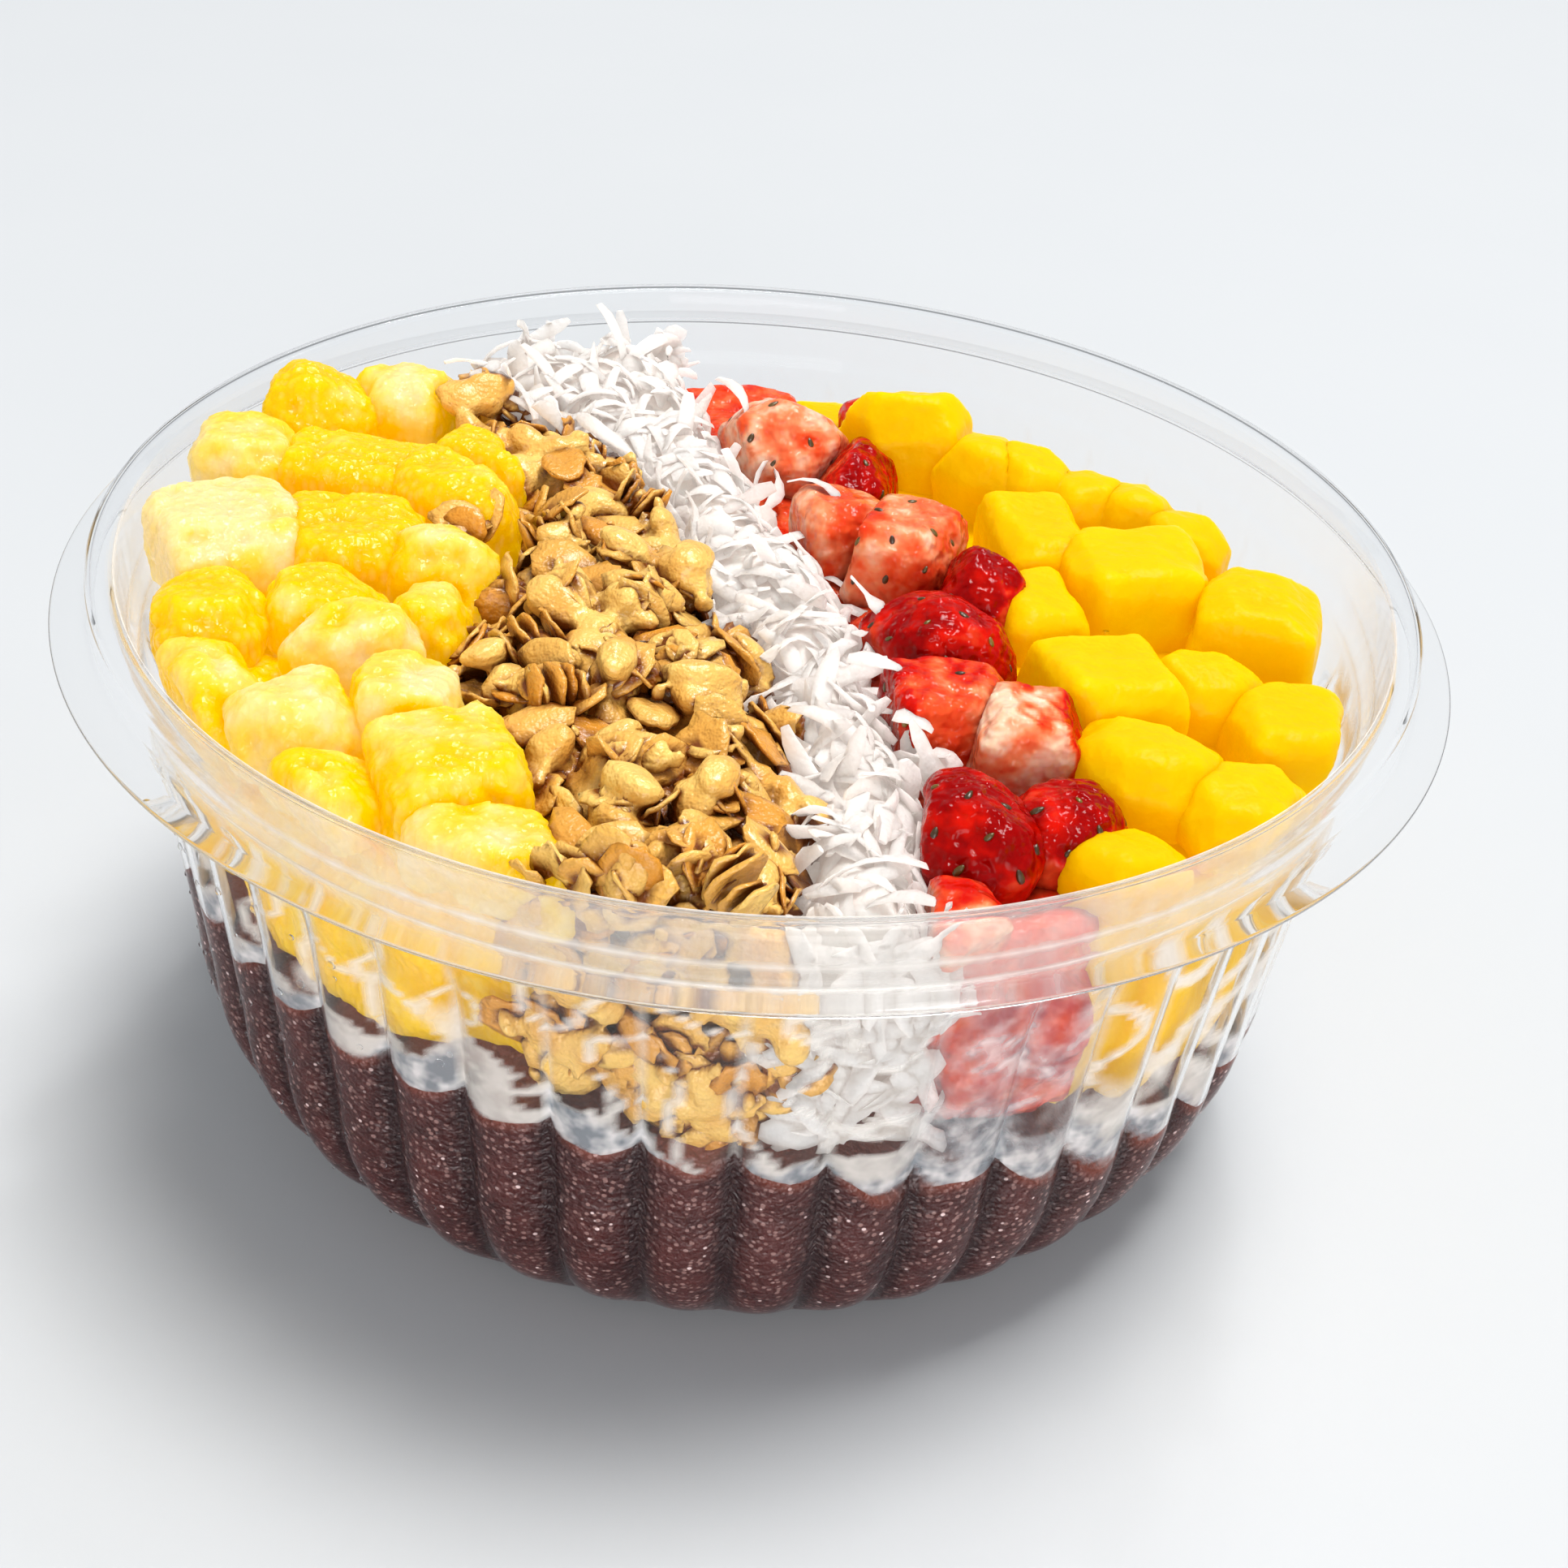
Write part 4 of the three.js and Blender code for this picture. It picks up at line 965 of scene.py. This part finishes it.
def shred_shape(chance):
    """A curled strip, thinner at its ends and along its edges."""
    steps, count = 7, 6
    chip = chance.random() < 0.3
    length = chance.uniform(2.6, 3.6) if chip else chance.uniform(4.6, 7.2)
    width = chance.uniform(1.7, 2.4) if chip else chance.uniform(0.7, 1.3)
    arc, twist, sway = chance.uniform(0.1, 0.9), chance.uniform(-1.3, 1.3), chance.uniform(-1.5, 1.5)
    here = Vector((chance.uniform(0, 90), 4, 2))
    rows = []
    for i in range(steps):
        along = -1 + 2 * i / (steps - 1)
        taper = (1 - 0.45 * abs(along) ** 6) * (1 + 0.4 * noise.noise(Vector((along * 2.5, 0, 0)) + here))
        angle = twist * along
        middle = Vector((length * math.sin(along * arc) / arc, sway * along * along,
                         -length * (1 - math.cos(along * arc)) / arc))
        ring = []
        for j in range(count):
            way = 2 * math.pi * j / count
            edge = 1 + 0.45 * noise.noise(Vector((along * 3, math.cos(way) * 2, 5)) + here)
            y, z = width * taper * edge * math.cos(way), (0.1 + 0.16 * taper) * math.sin(way)
            ring.append(middle + Vector((0, y * math.cos(angle) - z * math.sin(angle),
                                         y * math.sin(angle) + z * math.cos(angle))))
        rows.append(ring)
    points = [tuple(p * mm) for ring in rows for p in ring]
    faces = [(i * count + j, i * count + (j + 1) % count, (i + 1) * count + (j + 1) % count, (i + 1) * count + j)
             for i in range(steps - 1) for j in range(count)]
    faces += [tuple(range(count - 1, -1, -1)), tuple((steps - 1) * count + j for j in range(count))]
    mesh = bpy.data.meshes.new("shred")
    mesh.from_pydata(points, [], faces)
    turned = bmesh.new()
    turned.from_mesh(mesh)
    bmesh.ops.recalc_face_normals(turned, faces=turned.faces)
    turned.to_mesh(mesh)
    turned.free()
    return mesh


# The flesh glows faintly in warm white: painted light that lifts its shade.
coconut_flesh, nodes, shader = new_material(
    "coconut_flesh", Roughness=0.5, Specular_IOR_Level=0.3, Subsurface_Weight=0.8, Subsurface_Scale=0.005,
    Subsurface_Radius=(1.0, 0.95, 0.92), Emission_Color=paint(255, 244, 234), Emission_Strength=0.12)
mask, grain = add_blotches(nodes, 0.004, 0.0007, 2.0)
white = add_mix(nodes, mask, paint(249, 241, 233), paint(253, 247, 241))
# Grey where other food closes in: painted shade in the gaps between shreds.
shade_in_gap = add_range(nodes, add_attribute(nodes, "gap_shade"), 0.25, 0.9, 0, 0.6)
give(shader.inputs["Base Color"], add_mix(nodes, shade_in_gap, white, paint(206, 192, 190)))
add_bump(nodes, shader, grain, 0.0002)

chance = random.Random(29)
shred_kinds = 9
shred_shapes = [shred_shape(chance) for _ in range(shred_kinds)]
core_mesh = softened("coconut_core", copied("coconut"), 1.0, 10, -0.9, [(6, 2.6, 1)])
core_places, core_normals = points_of(core_mesh), normals_of(core_mesh)
food.append(add_piece("coconut_core", core_mesh, coconut_flesh, "coconut", "coconut"))
seen = np.nonzero(showing(core_places, core_normals))[0]
shreds = []
# Shreds that stand up or lie on the fruit: place across and away, lift, tip and size.
loose_shreds = [(-22, 57, 3.5, 1.1, 1.0), (-14, 52, 2.5, 0.9, 0.9), (-4, 40, 2, 0.8, 0.9),
                (17.1, -17.6, 0.8, 0.3, 0.8), (13.9, -7.7, 0.7, 0.4, 0.8), (7.5, 17, 0.8, 0.3, 0.8),
                (11.5, 2, 0.8, 0.3, 0.8), (15.5, -24, 0.8, 0.3, 0.9), (18, -33, 0.8, 0.2, 0.8),
                (9.5, 9, 0.8, 0.3, 0.8)]
for layer, spacing in ((0.3, 2.7), (1.4, 3.4)):
    for spot, way, at_wall in heap_spots(spacing, 3.2):
        tip = chance.uniform(-0.1, 0.1) if at_wall else chance.uniform(-0.35, 0.35)
        if chance.random() < 0.15 and not at_wall:
            tip = chance.uniform(0.6, 1.2)
        roll = 0.2 if at_wall else 0.6
        turn = lying_turn(way, chance.uniform(0, 6.28), tip, chance.uniform(-roll, roll))
        size = chance.uniform(0.75, 1.15)
        shreds.append((spot + way * (layer + chance.uniform(-0.2, 0.6)) * (0.3 if at_wall else 1) * mm, turn,
                       [size] * 3, chance.randrange(shred_kinds), chance.random()))
surface = food_tree()
for x, y, lift, tip, size in loose_shreds:
    spot, way = resting_on(surface, x, y)
    turn = lying_turn((0, 0, 1), chance.uniform(-0.9, 0.5), -tip, 0)
    shreds.append((spot + Vector((0, 0, lift)) * mm, turn, [size] * 3, chance.randrange(shred_kinds), 0))
for _ in range(46):
    along = chance.random()
    spot, way = resting_on(surface, -40 + 22 * along + chance.uniform(-4, 4),
                           43 - 17 * along + chance.uniform(-3, 4))
    if spot is None:
        continue
    turn = lying_turn(way, chance.uniform(0, 6.28), chance.uniform(-0.3, 0.5), chance.uniform(-0.6, 0.6))
    shreds.append((spot + Vector((0, 0, chance.uniform(0.3, 1.6))) * mm, turn, [chance.uniform(0.75, 1.1)] * 3,
                   chance.randrange(shred_kinds), 0))
shred_mesh = scattered("shreds", shred_shapes, shreds, coconut_flesh)
shred_mesh.set_sharp_from_angle(angle=math.radians(55))
food.append(add_piece("coconut_shreds", shred_mesh, coconut_flesh, "coconut"))

# ---- Painted shade in the gaps of the heap ----
# The gaps between the pieces are painted deeper and darker in colour, as shade. Each point of the
# food keeps how far other food closes it in, and the materials above read it.


def closed_in(mesh, tree, reach):
    """How far food closes in each point of a mesh, from 0 to 1."""
    places, normals = points_of(mesh), normals_of(mesh)
    side = np.cross(normals, (0.31, 0.9, 0.3))
    side /= np.linalg.norm(side, axis=1)[:, None] + 1e-9
    other = np.cross(normals, side)
    closed = np.zeros(len(places))
    for turn, lean in ((0.3, 0.35), (0, 1.0), (1.26, 1.1), (2.51, 1.0), (3.77, 1.1), (5.03, 1.0)):
        ways = normals * math.cos(lean) + (side * math.cos(turn) + other * math.sin(turn)) * math.sin(lean)
        starts = places + normals * 0.15 * mm + ways * 0.1 * mm
        for i, (start, way) in enumerate(zip(starts.tolist(), ways.tolist())):
            distance = tree.ray_cast(start, way, reach)[3]
            if distance is not None:
                closed[i] += 1 - distance / reach
    return closed / 6


surface = food_tree()
for piece in food:
    reach = 9 * mm if piece.name.startswith(("pineapple", "mango", "strawberry")) else 4.5 * mm
    store(piece.data, "gap_shade", closed_in(piece.data, surface, reach))

# ---- Juice and mist on the wall ----
# A thin milky film of melt and mist on the inside of the wall. It is clear where fruit presses on the
# plastic, and thick in the gaps over the pulp.
# White lines in the film along the grooves and under the rim are painted highlights.


def held(value):
    """A value held between 0 and 1."""
    return min(1.0, max(0.0, value))


def mist_shell():
    """A thin shell on the inner wall, how milky it is at each point with painted highlight lines added, and how
    cold it looks there.
    """
    solid_food = food_tree()
    columns = flute_count * 10
    profile = [inner_row(z) for z in np.linspace(15, 58, 56)]
    rim_heights = [58, 62, 63.6, 66, 69.6, 71.4, 72.0, 72.4]
    rim_radii = [72.6, 73.0, 73.7, 73.95, 74.35, 74.7, 74.95, 75.4]
    profile += [(float(np.interp(z, rim_heights, rim_radii)), z, 0) for z in np.arange(60.4, 72.3, 0.4)]
    angles = ring_angles(columns)
    dip = groove_share(angles)
    sheets = [turned_rings([(radius - depth, z, groove) for radius, z, groove in profile], columns)
              for depth in (0.03, 0.13)]
    milk_and_highlights, cold = [], []
    for i, (radius, z, groove) in enumerate(profile):
        for j, angle in enumerate(angles):
            inward = Vector((-math.cos(angle), -math.sin(angle), 0))
            place = Vector(sheets[0][i, j])
            above = z - (acai_height(place.x, place.y) - acai_edge_dip * (1 - dip[j]))
            hit = solid_food.ray_cast(place * mm + inward * 0.2 * mm, inward, 0.03)
            gap = 30 if hit[0] is None else hit[3] / mm + groove * dip[j]
            drift = noise.noise(place * 0.16) + 0.5 * noise.noise(place * 0.45)

            # Thin webs where juice has run, thicker low down and at the right.
            low = held((13 - above) / 9)
            right_end = held((place.x - 36) / 8) if place.y < 0 else 0
            vein = abs(noise.noise(place * 0.12 + Vector((9, 0, 0))))
            web = max(0.0, 1 - vein / (0.05 + 0.1 * low + 0.1 * right_end))
            value = 0.02 + ((0.5 + 0.15 * right_end) * min(1.0, 2 * web) if place.y < 20 else 0)

            # A veil over the strawberries at the front, and milk wherever the food stands back.
            berry = 0.0
            if place.y < -30 and place.x > 0 and z < 60:
                berry = held((12 - abs(place.x - 30)) / 6)
                value = max(value, (0.24 + 0.3 * drift) * berry)
            if gap > 14:
                value = 0.5 if above < 9 and place.y < 40 else 0.02
            if gap > 4.5 and place.y < 40:
                value = max(value, (0.42 + 0.2 * drift) * held((14 - above) / 3))

            # A pool of melt in each flute over the pulp, and a white line along each groove that is a painted
            # highlight.
            flute = math.floor((angle - first_groove) / (2 * math.pi) * flute_count)
            pool = held((3.5 + 7 * noise.noise((flute * 0.83, 2, 5)) + 3 * drift - above) / 1.2)
            open_gap = held((gap - 2.9 - 0.6 * drift) / 0.35)
            ridge = (0.2 if place.y < 20 else 0.04) * max(0.0, dip[j] - 0.85) / 0.15
            value = max(value, open_gap * 0.66 * pool) + ridge

            # An even veil under the rim at the front, with three white lines that are painted highlights along the
            # rim.
            if z > 60:
                lines = (0.5 * math.exp(-((z - 61.6) / 0.4) ** 2) + 0.4 * math.exp(-((z - 65.2) / 0.35) ** 2)
                         + 0.5 * math.exp(-((z - 72.2) / 0.5) ** 2))
                value = 0.02 + (0.24 + lines) * held((10 - place.y) / 40)
            milk_and_highlights.append(value * held((above + 0.6) / 0.8))
            cold.append(max(pool * open_gap, berry))
    return sheets, np.array(milk_and_highlights), np.array(cold)


sheets, milk_and_highlights, cold = mist_shell()
outer, inner = sheets
rows, columns = outer.shape[:2]
points = np.concatenate([outer.reshape(-1, 3), inner.reshape(-1, 3)]) * mm
half = rows * columns
edges = [[(i * columns + j, i * columns + (j + 1) % columns) for j in range(columns)] for i in range(rows)]
faces = []
for a, b in sum(edges[:-1], []):
    faces += [(a, b, b + columns, a + columns), (half + a, half + a + columns, half + b + columns, half + b)]
faces += [(a, half + a, half + b, b) for a, b in edges[0]] + [(b, half + b, half + a, a) for a, b in edges[-1]]
mist_mesh = bpy.data.meshes.new("mist")
mist_mesh.from_pydata(points.tolist(), [], faces)
mist_mesh.shade_smooth()
store(mist_mesh, "milk_and_highlights", np.concatenate([milk_and_highlights, milk_and_highlights]))
store(mist_mesh, "cold", np.concatenate([cold, cold]))
mist_and_highlight_film, nodes, shader = new_material("mist_and_highlight_film", Roughness=0.6, Specular_IOR_Level=0.2)
mask, grain = add_blotches(nodes, 0.0025, 0.0007, 3.5)
chilled = add_mix(nodes, mask, paint(160, 168, 175), paint(250, 244, 242))
give(shader.inputs["Base Color"], add_mix(nodes, add_attribute(nodes, "cold"), paint(255, 248, 240), chilled))
give(shader.inputs["Alpha"],
     add_math(nodes, "MULTIPLY", add_attribute(nodes, "milk_and_highlights"), add_range(nodes, mask, 0, 1, 0.7, 1)))
add_piece("wall_mist", mist_mesh, mist_and_highlight_film, "clear_bowl")

# ---- Droplets ----
# Small drops of condensed water cling to the cold outside of the wall, most of them on the left.

chance = random.Random(61)
drops = []
for _ in range(240):
    angle, z = math.radians(chance.gauss(198, 20)), chance.uniform(6, 50)
    across = flute_depth * flute_share(z) * groove_share(angle)
    way = Vector((math.cos(angle), math.sin(angle), 0))
    spot = way * (wall_radius(z) - across + 0.05) + Vector((0, 0, z))
    drops.append((spot * mm, lying_turn(way, 0), [chance.choice([0.25, 0.3, 0.4, 0.55])] * 3, 0, 0))
drop_mesh = scattered("drops", [lump_shape(chance, (1, 0.9, 0.6), False, 8, 6)], drops, clear_plastic)
add_piece("water_drops", drop_mesh, clear_plastic, "clear_bowl")
